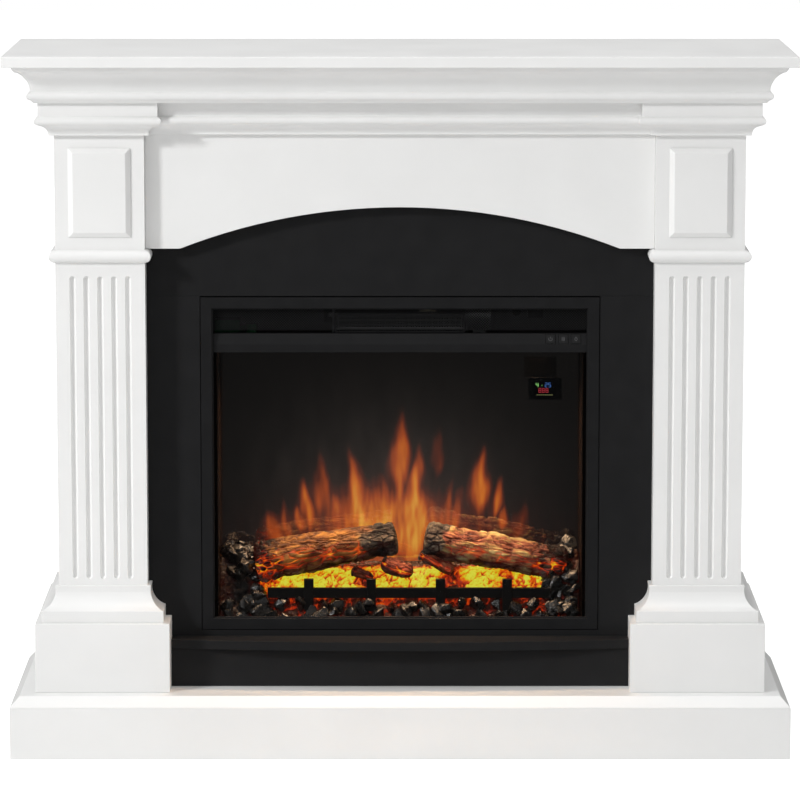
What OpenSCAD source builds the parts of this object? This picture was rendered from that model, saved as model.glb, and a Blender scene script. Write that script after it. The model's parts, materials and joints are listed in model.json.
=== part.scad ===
// Electric fireplace: a white mantel surround with a black glass-fronted insert.
// Origin: middle of the footprint, on the floor. +X right, +Y to the wall, +Z up.
// A "set-back" or "inset" is a distance in from the front and side edges of the shelf.

/* [Overall] */
// Width over the shelf and the plinth
width = 1120; // [930:10:1350]
// Depth from the shelf's front edge to the wall
depth = 330; // [275:5:400]
// Height to the top of the shelf
height = 1010; // [920:10:1220]

/* [Boards] */
// Structural board thickness
board_t = 18; // [15:1:22]
// Black backboard thickness
panel_t = 12; // [9:1:16]
// Frieze board thickness
frieze_t = 16; // [12:1:22]

/* [Shelf and crown] */
// Shelf thickness
shelf_t = 16; // [12:1:25]
// Height of the crown moulding under the shelf
crown_h = 53; // [45:1:70]
// Inset of the crown's top edge
crown_top_inset = 13; // [8:1:20]

/* [Legs] */
// Width of the leg zone, from the shelf's end to the plinth line inside the leg
leg_zone = 264; // [240:4:320]
// Inset of the leg's shaft
shaft_inset = 68; // [60:1:80]
// Inset of the capital's flat band
band_inset = 47; // [43:1:54]
// Height of the capital, band and mouldings together
capital_h = 48; // [44:1:60]
// Height of the plain head between the capital and the bead's top
head_h = 164.6; // [150:1:200]
// Radius of the half-round bead
bead_r = 9; // [6:0.5:12]
// Inset of the base block
block_inset = 35; // [25:1:40]
// Height of the base block
block_h = 100.3; // [80:1:130]
// Height of the base moulding above the block
base_h = 51.2; // [40:1:70]
// Inset of the base moulding's fascia
fascia_inset = 44; // [41:1:50]

/* [Flutes and raised panels] */
// Number of flutes on a leg
flute_n = 5; // [3:1:6]
// Width of a flute
flute_w = 8.6; // [6:0.2:12]
// Spacing of the flutes
flute_pitch = 19.8; // [16:0.2:21]
// Plain length above the base moulding
flute_foot = 8.6; // [5:1:20]
// Plain length under the bead
flute_head = 19.4; // [10:1:30]
// Width of the raised panel
raised_w = 89; // [70:1:100]
// Margin above and below the raised panel
raised_margin = 18.5; // [12:0.5:30]
// How far the raised panel stands proud
raised_t = 6; // [4:0.5:10]
// Width of the raised panel's bevel
raised_bevel = 7; // [4:0.5:12]

/* [Plinth] */
// Height of the plinth
plinth_h = 90.5; // [70:0.5:120]
// Thickness of the plinth's top board
plinth_top_t = 15; // [12:1:20]
// Run of the chamfer round the plinth's top board
chamfer = 14; // [8:1:18]

/* [Frieze and arch] */
// Set-back of the frieze behind the leg's shaft
frieze_step = 16; // [10:1:24]
// Level part of the lower edge beside the arch
shoulder = 49.5; // [30:1:70]
// Rise of the arch
arch_rise = 59.5; // [40:0.5:75]
// Black panel between the top of the insert and the shoulders
header_h = 72.4; // [60:1:90]

/* [Hearth] */
// Height of the riser under the ledge
riser_h = 56.5; // [40:0.5:80]
// Ledge thickness
ledge_t = 13; // [10:1:18]
// Set-back of the ledge at its ends
ledge_set = 74; // [66:1:80]
// How far the ledge bows forward at its middle
ledge_bow = 20; // [8:1:30]
// Strip of panel showing between the ledge and the insert
sill_h = 9.5; // [6:0.5:20]

/* [Insert] */
// Width of a black side panel
side_panel_w = 76.5; // [60:0.5:100]
// Gap round the insert's bezel
gap = 0.9; // [0.5:0.1:2]
// Width of a bezel bar
bar_w = 17.9; // [12:0.1:24]
// Bezel thickness, front to back
bezel_t = 8; // [6:0.5:12]
// Free space behind the insert's case
rear_gap = 45; // [30:1:60]
// Sheet steel thickness
sheet = 1.2; // [0.8:0.1:2]
// Visible height of the outlet grille
grille_h = 35.6; // [30:0.2:42]
// Height of the control strip
strip_h = 27; // [24:0.5:34]
// Glass thickness
glass_t = 4; // [3:0.5:5]

/* [Controls] */
// Side of a button tile
button_w = 13.4; // [10:0.2:13.6]
// Spacing of the buttons
button_pitch = 18.4; // [17:0.1:22]
// Distance from the last button's middle to the window's edge
button_edge = 15.4; // [12:0.1:60]
// Clearance round a button
button_gap = 0.3; // [0.2:0.05:0.5]

/* [Heater] */
// Width of the warm-air duct
duct_w = 187; // [150:1:220]
// Height of the warm-air duct
duct_h = 27; // [20:1:30]
// Radius of the blower's impeller
impeller_r = 24; // [18:0.5:26]
// Shaft radius of the impeller and the flame spindle
shaft_r = 3; // [2.5:0.1:4]
// Running clearance of a shaft in its bush
running = 0.05; // [0.02:0.01:0.1]

/* [Fire bed] */
// Height of the fire bed's front lip above the case floor
bed_front_h = 15; // [10:1:25]
// Height of the fire bed at its back
bed_back_h = 76; // [60:1:90]
// Thickness of the flame screen
screen_t = 3; // [2:0.5:5]
// Depth from the flame screen to the back of the case
flame_depth = 70; // [62:1:80]
// Reach of the flame spindle's reflectors
reflector_r = 24; // [16:1:26]
// Diameter of the left log, as a share of the fire bed's depth
log_share = 0.544; // [0.4:0.002:0.56]

/* [Hidden] */
$fn = 48;

white = "white";
black = "#242424";
steel = "#4a4a4c";
little = 0.01;

// Plan: edges of the surround
x_out = width / 2;
x_in = x_out - leg_zone;
y_front = -depth / 2;
y_back = depth / 2;
open_x = x_in + shaft_inset;
frieze_set = shaft_inset + frieze_step;
back_set = frieze_set + frieze_t;
leg_mid = (x_in + x_out) / 2;

// Heights, from the floor up and from the shelf down
z_block = plinth_h + block_h;
z_base = z_block + base_h;
z_shelf = height - shelf_t;
z_crown = z_shelf - crown_h;
z_cap = z_crown - capital_h;
z_shoulder = z_cap - head_h;
z_bead = z_shoulder - bead_r;
z_ledge = plinth_h + riser_h + ledge_t;
arch_half = open_x - shoulder;
arch_r = (arch_half * arch_half + arch_rise * arch_rise) / (2 * arch_rise);

// Insert: outside of the bezel, and what hangs from it
z_ins = z_ledge + sill_h;
z_ins_top = z_shoulder - header_h;
ins_x = open_x - side_panel_w - gap;
y_bezel = fy(back_set - 1);
y_glass = y_bezel + bezel_t;
win_x = ins_x - bar_w;
case_inset = 2.5;
case_x = ins_x - 4;
case_z0 = z_ins + case_inset;
case_z1 = z_ins_top - case_inset;
y_case = y_back - rear_gap;
z_strip_top = z_ins_top - bar_w - grille_h;
z_strip = z_strip_top - strip_h;
floor_z = case_z0 + sheet;
lap = 7;
cheek_x = case_x - 19.4;
y_screen = y_case - flame_depth;

// Control strip section: an upright band, then a face that leans back to the grille
strip_wall = 2.5;
y_strip = y_glass - 3;
button_margin = 1;
strip_band = strip_h - button_w - 2 * button_margin;
strip_back = y_glass + 11;
lean = atan((y_glass - y_strip) / (strip_h - strip_band));
y_tile = (y_glass + y_strip) / 2;
z_tile = z_strip + (strip_h + strip_band) / 2;
button_x = win_x - button_edge;

// Blower and duct
y_blower = (y_glass + y_case) / 2 + 4;
z_blower = z_strip_top + 14.5;
scroll_r = impeller_r + 8;
z_shelf_top = z_strip + sheet;
duct_wall = 2;
duct_y0 = y_glass + 4;
duct_y1 = y_blower - scroll_r - 0.5;
duct_z0 = z_blower - duct_h / 2;
duct_z1 = z_blower + duct_h / 2;
blower_x = duct_w / 2 + 2;
blower_end_t = 3;
motor_len = 34;

// Flame spindle
y_spindle = y_screen + screen_t + 35;
z_spindle = floor_z + 92;
spindle_x0 = -cheek_x + 14;
spindle_x1 = cheek_x - 34;
bracket_t = 6;

// Fire bed and what lies on it
bed_y0 = y_glass + glass_t + 1;
bed_depth = y_screen - bed_y0;
bed_wall = 4;
grate_y = bed_y0 + 0.126 * bed_depth;
grate_t = 6;
grate_z = floor_z + 37;
grate_h = 15;
grate_x0 = -0.733 * cheek_x;
grate_x1 = 0.832 * cheek_x;
post_w = 14;
log_y = bed_y0 + 0.37 * bed_depth;
log_d = log_share * bed_depth;
stick_d = 0.43 * log_d;
coal_s = 0.083 * bed_depth;

function fy(inset) = y_front + inset;

// Points of a round stretch from a to b that stands off its chord by sag, to the left when sag > 0.
function arc_pts(a, b, sag, n = 10) =
    let (dx = b[0] - a[0], dy = b[1] - a[1], c = sqrt(dx * dx + dy * dy),
         r = (c * c / 4 + sag * sag) / (2 * sag), half = asin(c / 2 / abs(r)),
         ux = dx / c, uy = dy / c, mx = (a[0] + b[0]) / 2 + uy * (r - sag),
         my = (a[1] + b[1]) / 2 - ux * (r - sag))
    [for (i = [0:n]) let (t = (2 * i / n - 1) * half * sign(r), s = abs(r) * sin(t) * sign(r),
         h = r * cos(t)) [mx + ux * s - uy * h, my + uy * s + ux * h]];

// Profiles, as [inset, height] points
crown_profile = concat(
    arc_pts([crown_top_inset, z_shelf], [crown_top_inset + 4.5, z_shelf - 7.5], -0.8),
    arc_pts([crown_top_inset + 8.5, z_shelf - 9], [band_inset - 9.5, z_crown + 16.5], 4),
    arc_pts([band_inset - 9.5, z_crown + 16], [band_inset - 11, z_crown + 5], -4.4),
    arc_pts([band_inset - 10.5, z_crown + 4.6], [band_inset - 6, z_crown], 0.8),
    [[frieze_set, z_crown], [frieze_set, z_shelf]]);

function capital_profile(back) = concat(
    [[back, z_crown], [band_inset, z_crown], [band_inset, z_cap + 28.5]],
    arc_pts([band_inset - 0.5, z_cap + 27.5], [band_inset - 2, z_cap + 16.5], -3.9),
    arc_pts([band_inset + 4.2, z_cap + 14], [shaft_inset - 7.5, z_cap + 2], 2.4),
    [[shaft_inset - 7.5, z_cap], [back, z_cap]]);

bead_profile = concat(
    [[shaft_inset, z_bead - bead_r], [shaft_inset - 1, z_bead - bead_r]],
    arc_pts([shaft_inset - 1, z_bead - bead_r], [shaft_inset - 1, z_bead + bead_r], bead_r - 1, 16),
    [[shaft_inset, z_bead + bead_r]]);

base_profile = concat(
    [[shaft_inset, z_block], [fascia_inset, z_block], [fascia_inset, z_block + 17.2]],
    arc_pts([fascia_inset + 1.5, z_block + 17.2], [shaft_inset - 5, z_base - 2], -6.5),
    [[shaft_inset - 5, z_base], [shaft_inset, z_base]]);

block_profile = [[block_inset, plinth_h], [block_inset, z_block],
    [block_inset + board_t, z_block], [block_inset + board_t, plinth_h]];

// Extrudes a [Y, Z] outline from x0 to x1
module along_x(x0, x1, outline) {
    translate([x0, 0, 0]) rotate([90, 0, 90]) linear_extrude(x1 - x0) polygon(outline);
}

// Extrudes an [X, Z] outline from y0 to y1
module along_y(y0, y1, outline) {
    translate([0, y1, 0]) rotate([90, 0, 0]) linear_extrude(y1 - y0) polygon(outline);
}

// A box from one corner to the other
module block(from, to) {
    translate(from) cube(to - from);
}

// A box centred on the middle line
module wide(half, from, to) {
    block([-half, from[0], from[1]], [half, to[0], to[1]]);
}

// The same solid on the right and, mirrored, on the left
module both() {
    children();
    mirror([1, 0, 0]) children();
}

// The room inside a plan outline, from the floor to above the shelf
module plan(outline) {
    linear_extrude(height + 10) polygon(outline);
}

// A moulding along the front, cut to 45 degree mitres at both ends
module front_run(profile, x0, x1, deep) {
    intersection() {
        along_x(x0, x1, [for (p = profile) [fy(p[0]), p[1]]]);
        plan([[x0, y_front], [x1, y_front], [x1 - deep, y_front + deep],
            [x0 + deep, y_front + deep]]);
    }
}

// A moulding back along the right-hand side, mitred where it meets the front
module side_run(profile, x, y_end, deep) {
    intersection() {
        along_y(y_front, y_end, [for (p = profile) [x - p[0], p[1]]]);
        plan([[x, y_front], [x, y_end], [x - deep, y_end], [x - deep, y_front + deep]]);
    }
}

// The same along the leg's inner side, ending square or on a 45 degree inner corner
module inner_run(profile, y_end, deep, corner) {
    intersection() {
        along_y(y_front, y_end + deep, [for (p = profile) [x_in + p[0], p[1]]]);
        plan([[x_in, y_front], [x_in + deep, y_front + deep],
            [x_in + deep, y_end + (corner ? deep : 0)], [x_in, y_end]]);
    }
}

// A moulding round the right leg: outer side, front and inner side
module leg_wrap(profile, deep, y_inner, corner = false) {
    union() {
        front_run(profile, x_in, x_out, deep);
        side_run(profile, x_out, y_back, deep);
        inner_run(profile, y_inner, deep, corner);
    }
}

// Surround: shelf and crown

module mantel_shelf() {
    color(white) wide(x_out, [y_front, z_shelf], [y_back, height]);
}

module crown_front() {
    color(white) front_run(crown_profile, -x_out, x_out, frieze_set);
}

module crown_returns() {
    color(white) both() side_run(crown_profile, x_out, y_back, frieze_set);
}

// Surround: legs

module capitals() {
    color(white) both() leg_wrap(capital_profile(shaft_inset), shaft_inset, fy(frieze_step), true);
}

module bead_rings() {
    color(white) both() leg_wrap(bead_profile, shaft_inset, fy(back_set));
}

module raised_panels() {
    z0 = z_shoulder + raised_margin;
    z1 = z_cap - raised_margin;
    half = raised_w / 2;
    y = fy(shaft_inset);
    color(white) both() hull() {
        block([leg_mid - half, y - 1.5, z0], [leg_mid + half, y, z1]);
        block([leg_mid - half + raised_bevel, y - raised_t, z0 + raised_bevel],
            [leg_mid + half - raised_bevel, y, z1 - raised_bevel]);
    }
}

module base_mouldings() {
    color(white) both() leg_wrap(base_profile, shaft_inset, fy(back_set));
}

module base_blocks() {
    color(white) both() leg_wrap(block_profile, block_inset + board_t, fy(back_set));
}

// Fluted front board of the right leg
module pilaster_front() {
    y = fy(shaft_inset);
    z0 = z_base + flute_foot + flute_w / 2;
    z1 = z_bead - bead_r - flute_head - flute_w / 2;
    color(white) difference() {
        block([open_x, y, plinth_h], [x_out - shaft_inset, y + board_t, z_crown]);
        for (i = [0:flute_n - 1]) {
            x = leg_mid + (i - (flute_n - 1) / 2) * flute_pitch;
            translate([x, y, z0]) cylinder(h = z1 - z0, r = flute_w / 2);
            for (z = [z0, z1]) translate([x, y, z]) sphere(r = flute_w / 2);
        }
    }
}

module pilaster_front_left() {
    mirror([1, 0, 0]) pilaster_front();
}

module pilaster_front_right() {
    pilaster_front();
}

module pilaster_outer_sides() {
    x = x_out - shaft_inset;
    color(white) both()
        block([x - board_t, fy(shaft_inset) + board_t, plinth_h], [x, y_back, z_crown]);
}

module pilaster_inner_sides() {
    color(white) both()
        block([open_x, fy(shaft_inset) + board_t, plinth_h], [open_x + board_t, y_back, z_crown]);
}

// Surround: frieze

module frieze_panel() {
    color(white) difference() {
        wide(open_x, [fy(frieze_set), z_shoulder], [fy(back_set), z_shelf]);
        translate([0, fy(back_set) + 1, z_shoulder + arch_rise - arch_r]) rotate([90, 0, 0])
            cylinder(h = frieze_t + 2, r = arch_r, $fn = 360);
    }
}

module frieze_moulding() {
    reach = frieze_set;
    color(white) intersection() {
        along_x(-open_x, open_x, [for (p = capital_profile(shaft_inset)) [fy(p[0] + frieze_step), p[1]]]);
        plan([[-x_in, fy(frieze_step)], [x_in, fy(frieze_step)], [x_in + reach, fy(frieze_step + reach)],
            [-x_in - reach, fy(frieze_step + reach)]]);
    }
}

// Surround: plinth

module plinth_top() {
    z0 = plinth_h - plinth_top_t;
    color(white) intersection() {
        along_y(y_front, y_back, [[-x_out, z0], [x_out, z0], [x_out - chamfer, plinth_h],
            [-x_out + chamfer, plinth_h]]);
        along_x(-x_out, x_out, [[y_front, z0], [y_back, z0], [y_back, plinth_h],
            [y_front + chamfer, plinth_h]]);
    }
}

module plinth_front() {
    color(white) wide(x_out, [y_front, 0], [y_front + board_t, plinth_h - plinth_top_t]);
}

module plinth_sides() {
    color(white) both()
        block([x_out - board_t, y_front + board_t, 0], [x_out, y_back, plinth_h - plinth_top_t]);
}

// Three rails across the open back; the top one is drilled for two wall screws
wall_hole_r = 3;
wall_hole_x = 200;
rail_h = 90;
module back_rails() {
    color(white) {
        wide(x_out - board_t, [y_back - board_t, 0], [y_back, plinth_h - plinth_top_t]);
        wide(open_x, [y_back - board_t, plinth_h], [y_back, plinth_h + 50]);
        difference() {
            wide(open_x, [y_back - board_t, z_shelf - rail_h], [y_back, z_shelf]);
            for (x = [-wall_hole_x, wall_hole_x])
                translate([x, y_back + 1, z_shelf - rail_h / 2]) rotate([90, 0, 0])
                    cylinder(h = board_t + 2, r = wall_hole_r);
        }
    }
}

// Black backboards and hearth

module arch_backboard() {
    color(black) wide(open_x, [fy(back_set), z_ins_top + 2 * gap],
        [fy(back_set) + panel_t, z_shoulder + arch_rise + 20]);
}

module side_panels() {
    color(black) both() block([ins_x + gap, fy(back_set), plinth_h],
        [open_x, fy(back_set) + panel_t, z_ins_top + 2 * gap]);
}

module lower_backboard() {
    color(black) wide(ins_x + gap, [fy(back_set), plinth_h], [fy(back_set) + panel_t, z_ins - gap]);
}

module hearth_ledge() {
    half = x_in + block_inset;
    r = (half * half + ledge_bow * ledge_bow) / (2 * ledge_bow);
    color(black) intersection() {
        wide(half, [fy(ledge_set - ledge_bow - 1), z_ledge - ledge_t], [fy(back_set), z_ledge]);
        translate([0, fy(ledge_set - ledge_bow) + r, z_ledge - ledge_t - 1])
            cylinder(h = ledge_t + 2, r = r, $fn = 720);
    }
}

module hearth_riser() {
    color(black) wide(x_in + block_inset, [fy(ledge_set + 2), plinth_h],
        [fy(ledge_set + 2) + panel_t, z_ledge - ledge_t]);
}

module insert_shelf() {
    color("burlywood") wide(open_x, [fy(back_set) + panel_t, case_z0 - board_t],
        [y_back - board_t, case_z0]);
}

// Insert: sheet steel case

module case_bottom() {
    color(steel) wide(case_x, [y_glass, case_z0], [y_case, floor_z]);
}

module case_top() {
    color(steel) wide(case_x, [y_glass, case_z1 - sheet], [y_case, case_z1]);
}

flange = 12;
screw_r = 1.5;
screw_end = 30;
// Heights of the screws that hold the back of the case
screw_z = [for (i = [0:3]) floor_z + screw_end + i * (case_z1 - floor_z - 2 * screw_end) / 3];

// Holes for the screws, right through the flange and the back of the case
module screw_holes(r) {
    for (z = screw_z)
        translate([case_x - flange / 2, y_case + 1, z]) rotate([90, 0, 0]) cylinder(h = 8, r = r);
}

module case_sides() {
    color(steel) both() difference() {
        union() {
            block([case_x - sheet, y_glass, floor_z], [case_x, y_case - sheet, case_z1 - sheet]);
            block([case_x - flange, y_case - 2 * sheet, floor_z],
                [case_x, y_case - sheet, case_z1 - sheet]);
        }
        screw_holes(screw_r);
    }
}

// Mains inlet in the back of the case: a rocker in its housing, and a cord gland beside it
inlet_z = z_strip + 35;
rocker_x = case_x - 82.6;
rocker_y = y_case - 3;
rocker_w = 18.6;
rocker_h = 11;
rocker_tilt = 9;
rocker_pin_r = 1.2;
rocker_room = 1.6;
housing_wall = 1.6;
gland_x = rocker_x - 28;
gland_r = 6.9;
gland_gap = 0.2;
cord_hole_r = 3.6;
vent_n = 9;
vent_pitch = 26;
vent_half = 2;
vent_z0 = z_strip + 22;
vent_z1 = z_strip + 56;
module case_back() {
    color(steel) difference() {
        wide(case_x, [y_case - sheet, floor_z], [y_case, case_z1 - sheet]);
        both() screw_holes(screw_r);
        for (i = [0:vent_n - 1]) {
            x = (i - (vent_n - 1) / 2) * vent_pitch;
            block([x - vent_half, y_case - 5, vent_z0], [x + vent_half, y_case + 1, vent_z1]);
        }
        translate([gland_x, y_case + 1, inlet_z]) rotate([90, 0, 0])
            cylinder(h = 5, r = gland_r + gland_gap);
        housing(y_case - 5, y_case + 1);
    }
}

// Outside of the rocker's housing
module housing(y0, y1) {
    half_x = rocker_w / 2 + 0.4 + housing_wall;
    half_z = rocker_h / 2 + rocker_room + housing_wall;
    block([rocker_x - half_x, y0, inlet_z - half_z], [rocker_x + half_x, y1, inlet_z + half_z]);
}

// Eight pan-head screws with cross slots, in the back of the case
module case_screws() {
    dome = 5;
    slot = 0.8;
    shank = 6;
    color("silver") both() for (z = screw_z) translate([case_x - flange / 2, y_case, z]) {
        difference() {
            intersection() {
                translate([0, -2, 0]) sphere(r = dome);
                translate([-dome, 0, -dome]) cube([2 * dome, dome, 2 * dome]);
            }
            for (turn = [0, 90]) rotate([0, turn, 0]) translate([-2, 1.6, -slot / 2])
                cube([4, 3, slot]);
        }
        translate([0, little, 0]) rotate([90, 0, 0]) cylinder(h = shank, r = screw_r - 0.1);
    }
}

module heater_shelf() {
    color(steel) wide(case_x - sheet, [strip_back, z_strip], [y_case - 2 * sheet, z_shelf_top]);
}

module firebox_cheeks() {
    color("#3a2a20") both()
        block([cheek_x, y_glass + glass_t, floor_z], [cheek_x + sheet, y_screen + screen_t, z_strip]);
}

// Insert: front

module front_bezel() {
    step = 2;
    color(black) difference() {
        wide(ins_x, [y_bezel, z_ins], [y_glass, z_ins_top]);
        wide(win_x, [y_bezel - 1, z_ins + bar_w], [y_glass + 1, z_ins_top - bar_w]);
        wide(win_x + step, [y_bezel - 1, z_ins + bar_w - step],
            [y_bezel + 2.5, z_ins_top - bar_w + step]);
    }
}

module front_glass() {
    color("#101010", 0.35) wide(win_x + lap, [y_glass, z_ins + bar_w - lap], [y_glass + glass_t, z_strip]);
}

// Places its children on the leaning face, with Y pointing into the strip
module on_strip(x) {
    translate([x, y_tile, z_tile]) rotate([-lean, 0, 0]) children();
}

module control_strip() {
    w = strip_wall;
    slant = w / cos(lean);
    hole = button_w / 2 + button_gap;
    color(black) difference() {
        along_x(-win_x, win_x, [[strip_back, z_strip], [y_strip, z_strip],
            [y_strip, z_strip + strip_band], [y_glass, z_strip_top], [strip_back, z_strip_top],
            [strip_back, z_strip_top - w], [y_strip + slant + (strip_h - strip_band - w) * tan(lean),
            z_strip_top - w], [y_strip + slant, z_strip + strip_band], [y_strip + slant, z_strip + w],
            [strip_back, z_strip + w]]);
        for (i = [0:2]) on_strip(button_x - i * button_pitch)
            translate([-hole, -3, -hole]) cube([2 * hole, 7, 2 * hole]);
    }
}

module outlet_grille() {
    pitch = 9;
    half = 2.4;
    z0 = z_strip_top;
    rows = floor((grille_h - 4) / pitch);
    columns = floor((win_x * 2 - 10) / pitch);
    color(black) difference() {
        wide(win_x + lap, [y_glass, z0], [y_glass + sheet, z0 + grille_h + lap]);
        translate([0, y_glass + sheet + 1, z0 + grille_h / 2]) rotate([90, 0, 0])
            linear_extrude(sheet + 2)
                for (i = [0:columns - 1], j = [0:rows - 1])
                    translate([(i - (columns - 1) / 2) * pitch, (j - (rows - 1) / 2) * pitch])
                        rotate(45) square(2 * half, center = true);
    }
}

// Insert: controls

// A button: a tile that stands proud, side lugs that catch behind the wall, and a stem
module button(i) {
    half = button_w / 2;
    proud = 0.8;
    lug = 1.4;
    lug_h = button_w + 2 * button_margin - 2 * strip_wall;
    lug_t = 1;
    stem_r = 2;
    stem_end = strip_back - y_tile - 5.4;
    color("#2c2c2e") on_strip(button_x - i * button_pitch) union() {
        block([-half, -proud, -half], [half, strip_wall + lug_t / 2, half]);
        block([-half - lug, strip_wall + little, -lug_h / 2],
            [half + lug, strip_wall + little + lug_t, lug_h / 2]);
        translate([0, stem_end, 0]) rotate([90, 0, 0]) cylinder(h = stem_end - strip_wall, r = stem_r);
    }
}

module button_power() {
    button(2);
}

module button_heat() {
    button(1);
}

module button_flame() {
    button(0);
}

module button_board() {
    margin = 12;
    board = 1.6;
    key = 6;
    y = strip_back - 2;
    color("darkgreen") {
        block([button_x - 2 * button_pitch - margin, y, z_strip + strip_wall],
            [button_x + margin, y + board, z_strip_top - strip_wall]);
        for (i = [0:2]) translate([button_x - i * button_pitch - key / 2, y - 2, z_tile - 4])
            cube([key, 2 + little, key]);
    }
}

// Display behind the glass: a window plate with the module standing on its back
module display_module() {
    right = button_x - 20;
    plate = [48, 2, 32];
    module_w = 32;
    module_h = 22;
    depth_behind = 6;
    y = y_glass + glass_t;
    z = z_strip - 70;
    color("#161616") union() {
        translate([right - plate[0], y, z]) cube(plate);
        block([right - (plate[0] + module_w) / 2, y + plate[1] / 2, z + (plate[2] - module_h) / 2],
            [right - (plate[0] - module_w) / 2, y + depth_behind, z + (plate[2] + module_h) / 2]);
    }
}

// Insert: warm-air heater

// Duct from the blower to the grille, on two feet
module heater_duct() {
    half = duct_w / 2;
    foot_x = half - 22;
    foot_t = 3;
    color("#3c3c3e") union() {
        difference() {
            wide(half, [duct_y0, duct_z0], [duct_y1, duct_z1]);
            wide(half - duct_wall, [duct_y0 - 1, duct_z0 + duct_wall],
                [duct_y1 + 1, duct_z1 - duct_wall]);
        }
        both() block([foot_x, duct_y0 + 10, z_shelf_top],
            [foot_x + foot_t, duct_y1 - 5, duct_z0 + little]);
    }
}

// Two flat heater bars with fins between them
module heating_element() {
    half = duct_w / 2 - duct_wall;
    y = duct_y0 + 0.42 * (duct_y1 - duct_y0);
    z0 = duct_z0 + duct_wall;
    z1 = duct_z1 - duct_wall;
    bar_t = 2.5;
    bar_depth = 12;
    fin_t = 1;
    fins = 22;
    color("silver") union() {
        for (z = [z0, z1 - bar_t]) wide(half, [y, z], [y + bar_depth, z + bar_t]);
        for (i = [0:fins - 1]) {
            x = -half + 2 * fin_t + i * (2 * half - 5 * fin_t) / (fins - 1);
            block([x, y, z0 + bar_t - little], [x + fin_t, y + bar_depth, z1 - bar_t + little]);
        }
    }
}

module thermal_cutout() {
    plate = [24, 10, 1];
    color("wheat") translate([40, duct_y0 + 0.53 * (duct_y1 - duct_y0), duct_z1]) union() {
        translate([-plate[0] / 2, -plate[1] / 2, 0]) cube(plate);
        cylinder(h = 6, r = 7);
    }
}

// Lays a cylinder along X
module bar_x(x0, x1, r, y, z) {
    translate([x0, y, z]) rotate([0, 90, 0]) cylinder(h = x1 - x0, r = r);
}

// Barrel round the impeller, open to the duct in front and to the room behind,
// between two end plates that stand on the heater shelf and carry the shaft
module blower_housing() {
    wall = 2.5;
    mouth = duct_w / 2 - duct_wall;
    color(steel) union() {
        difference() {
            bar_x(-blower_x, blower_x, scroll_r, y_blower, z_blower);
            bar_x(-blower_x - 1, blower_x + 1, scroll_r - wall, y_blower, z_blower);
            wide(mouth, [y_blower - scroll_r - 1, duct_z0 + duct_wall],
                [y_blower, duct_z1 - duct_wall]);
            wide(mouth, [y_blower, z_blower - 5], [y_blower + scroll_r + 1, z_blower + scroll_r - 6]);
        }
        for (x = [-blower_x - blower_end_t, blower_x]) difference() {
            union() {
                bar_x(x, x + blower_end_t, scroll_r, y_blower, z_blower);
                block([x, y_blower - scroll_r, z_shelf_top],
                    [x + blower_end_t, y_blower + scroll_r - 6, z_blower - 10]);
            }
            bar_x(x - 1, x + blower_end_t + 1, shaft_r + running, y_blower, z_blower);
        }
    }
}

// Tangential fan: three discs on a shaft, joined round their rims by the blades
module blower_impeller() {
    half = blower_x - 5;
    disc_t = 2;
    blades = 18;
    blade_t = 1;
    blade_depth = 6.5;
    shaft_out = 18;
    color("dimgray") union() {
        bar_x(-blower_x - 8, blower_x + shaft_out, shaft_r, y_blower, z_blower);
        for (x = [-half, -disc_t / 2, half - disc_t])
            bar_x(x, x + disc_t, impeller_r, y_blower, z_blower);
        translate([0, y_blower, z_blower]) for (i = [0:blades - 1])
            rotate([i * 360 / blades, 0, 0])
                translate([-half + 1, -blade_t / 2, impeller_r - blade_depth - 0.5])
                    cube([2 * half - 2, blade_t, blade_depth]);
    }
}

module blower_motor() {
    x0 = blower_x + blower_end_t;
    foot_half = 14;
    foot_inset = 8;
    shaft_depth = 18;
    color("gray") difference() {
        union() {
            bar_x(x0, x0 + motor_len, impeller_r, y_blower, z_blower);
            block([x0 + foot_inset, y_blower - foot_half, z_shelf_top],
                [x0 + motor_len - foot_inset, y_blower + foot_half, z_blower]);
        }
        bar_x(x0 - 1, x0 + shaft_depth, shaft_r + running, y_blower, z_blower);
    }
}

// Insert: flame effect

module flame_screen() {
    color("#303030", 0.6) wide(cheek_x, [y_screen, floor_z + 42], [y_screen + screen_t, z_strip]);
}

module flame_spindle() {
    stations = 12;
    vane_x = (spindle_x1 - spindle_x0 - 40) / stations;
    color("silver") union() {
        bar_x(spindle_x0 - 4, spindle_x1 + 12, shaft_r, y_spindle, z_spindle);
        for (i = [0:stations - 1], k = [0:2])
            translate([spindle_x0 + 20 + i * vane_x, y_spindle, z_spindle])
                rotate([k * 120 + i * 35, 0, 0]) translate([2, -0.4, 0])
                    cube([vane_x - 6, 0.8, reflector_r - (i % 2) * 4]);
    }
}

module spindle_bearing() {
    x1 = spindle_x0;
    color("gray") difference() {
        union() {
            block([x1 - bracket_t, y_spindle - 12, floor_z], [x1, y_spindle + 12, z_spindle]);
            bar_x(x1 - bracket_t, x1, 12, y_spindle, z_spindle);
            block([x1 - 24, y_spindle - 12, floor_z], [x1, y_spindle + 12, floor_z + 2]);
        }
        bar_x(x1 - bracket_t - 1, x1 + 1, shaft_r + running, y_spindle, z_spindle);
    }
}

module flame_motor() {
    x0 = spindle_x1;
    color("goldenrod") difference() {
        union() {
            bar_x(x0, x0 + 20, 22, y_spindle, z_spindle);
            block([x0 + 3, y_spindle - 14, floor_z], [x0 + 6, y_spindle + 14, z_spindle]);
            block([x0 + 3, y_spindle - 14, floor_z], [x0 + 24, y_spindle + 14, floor_z + 2]);
        }
        bar_x(x0 - 1, x0 + 14, shaft_r + running, y_spindle, z_spindle);
    }
}

// Top line of the fire bed, as [share of its depth, height above the case floor]:
// a front lip, a steep rise behind the grate and a nearly level back
bed_line = [[0, bed_front_h], [0.12, 2 * bed_front_h], [0.21, 0.68 * bed_back_h],
    [0.44, 0.97 * bed_back_h], [1, bed_back_h]];

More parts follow.
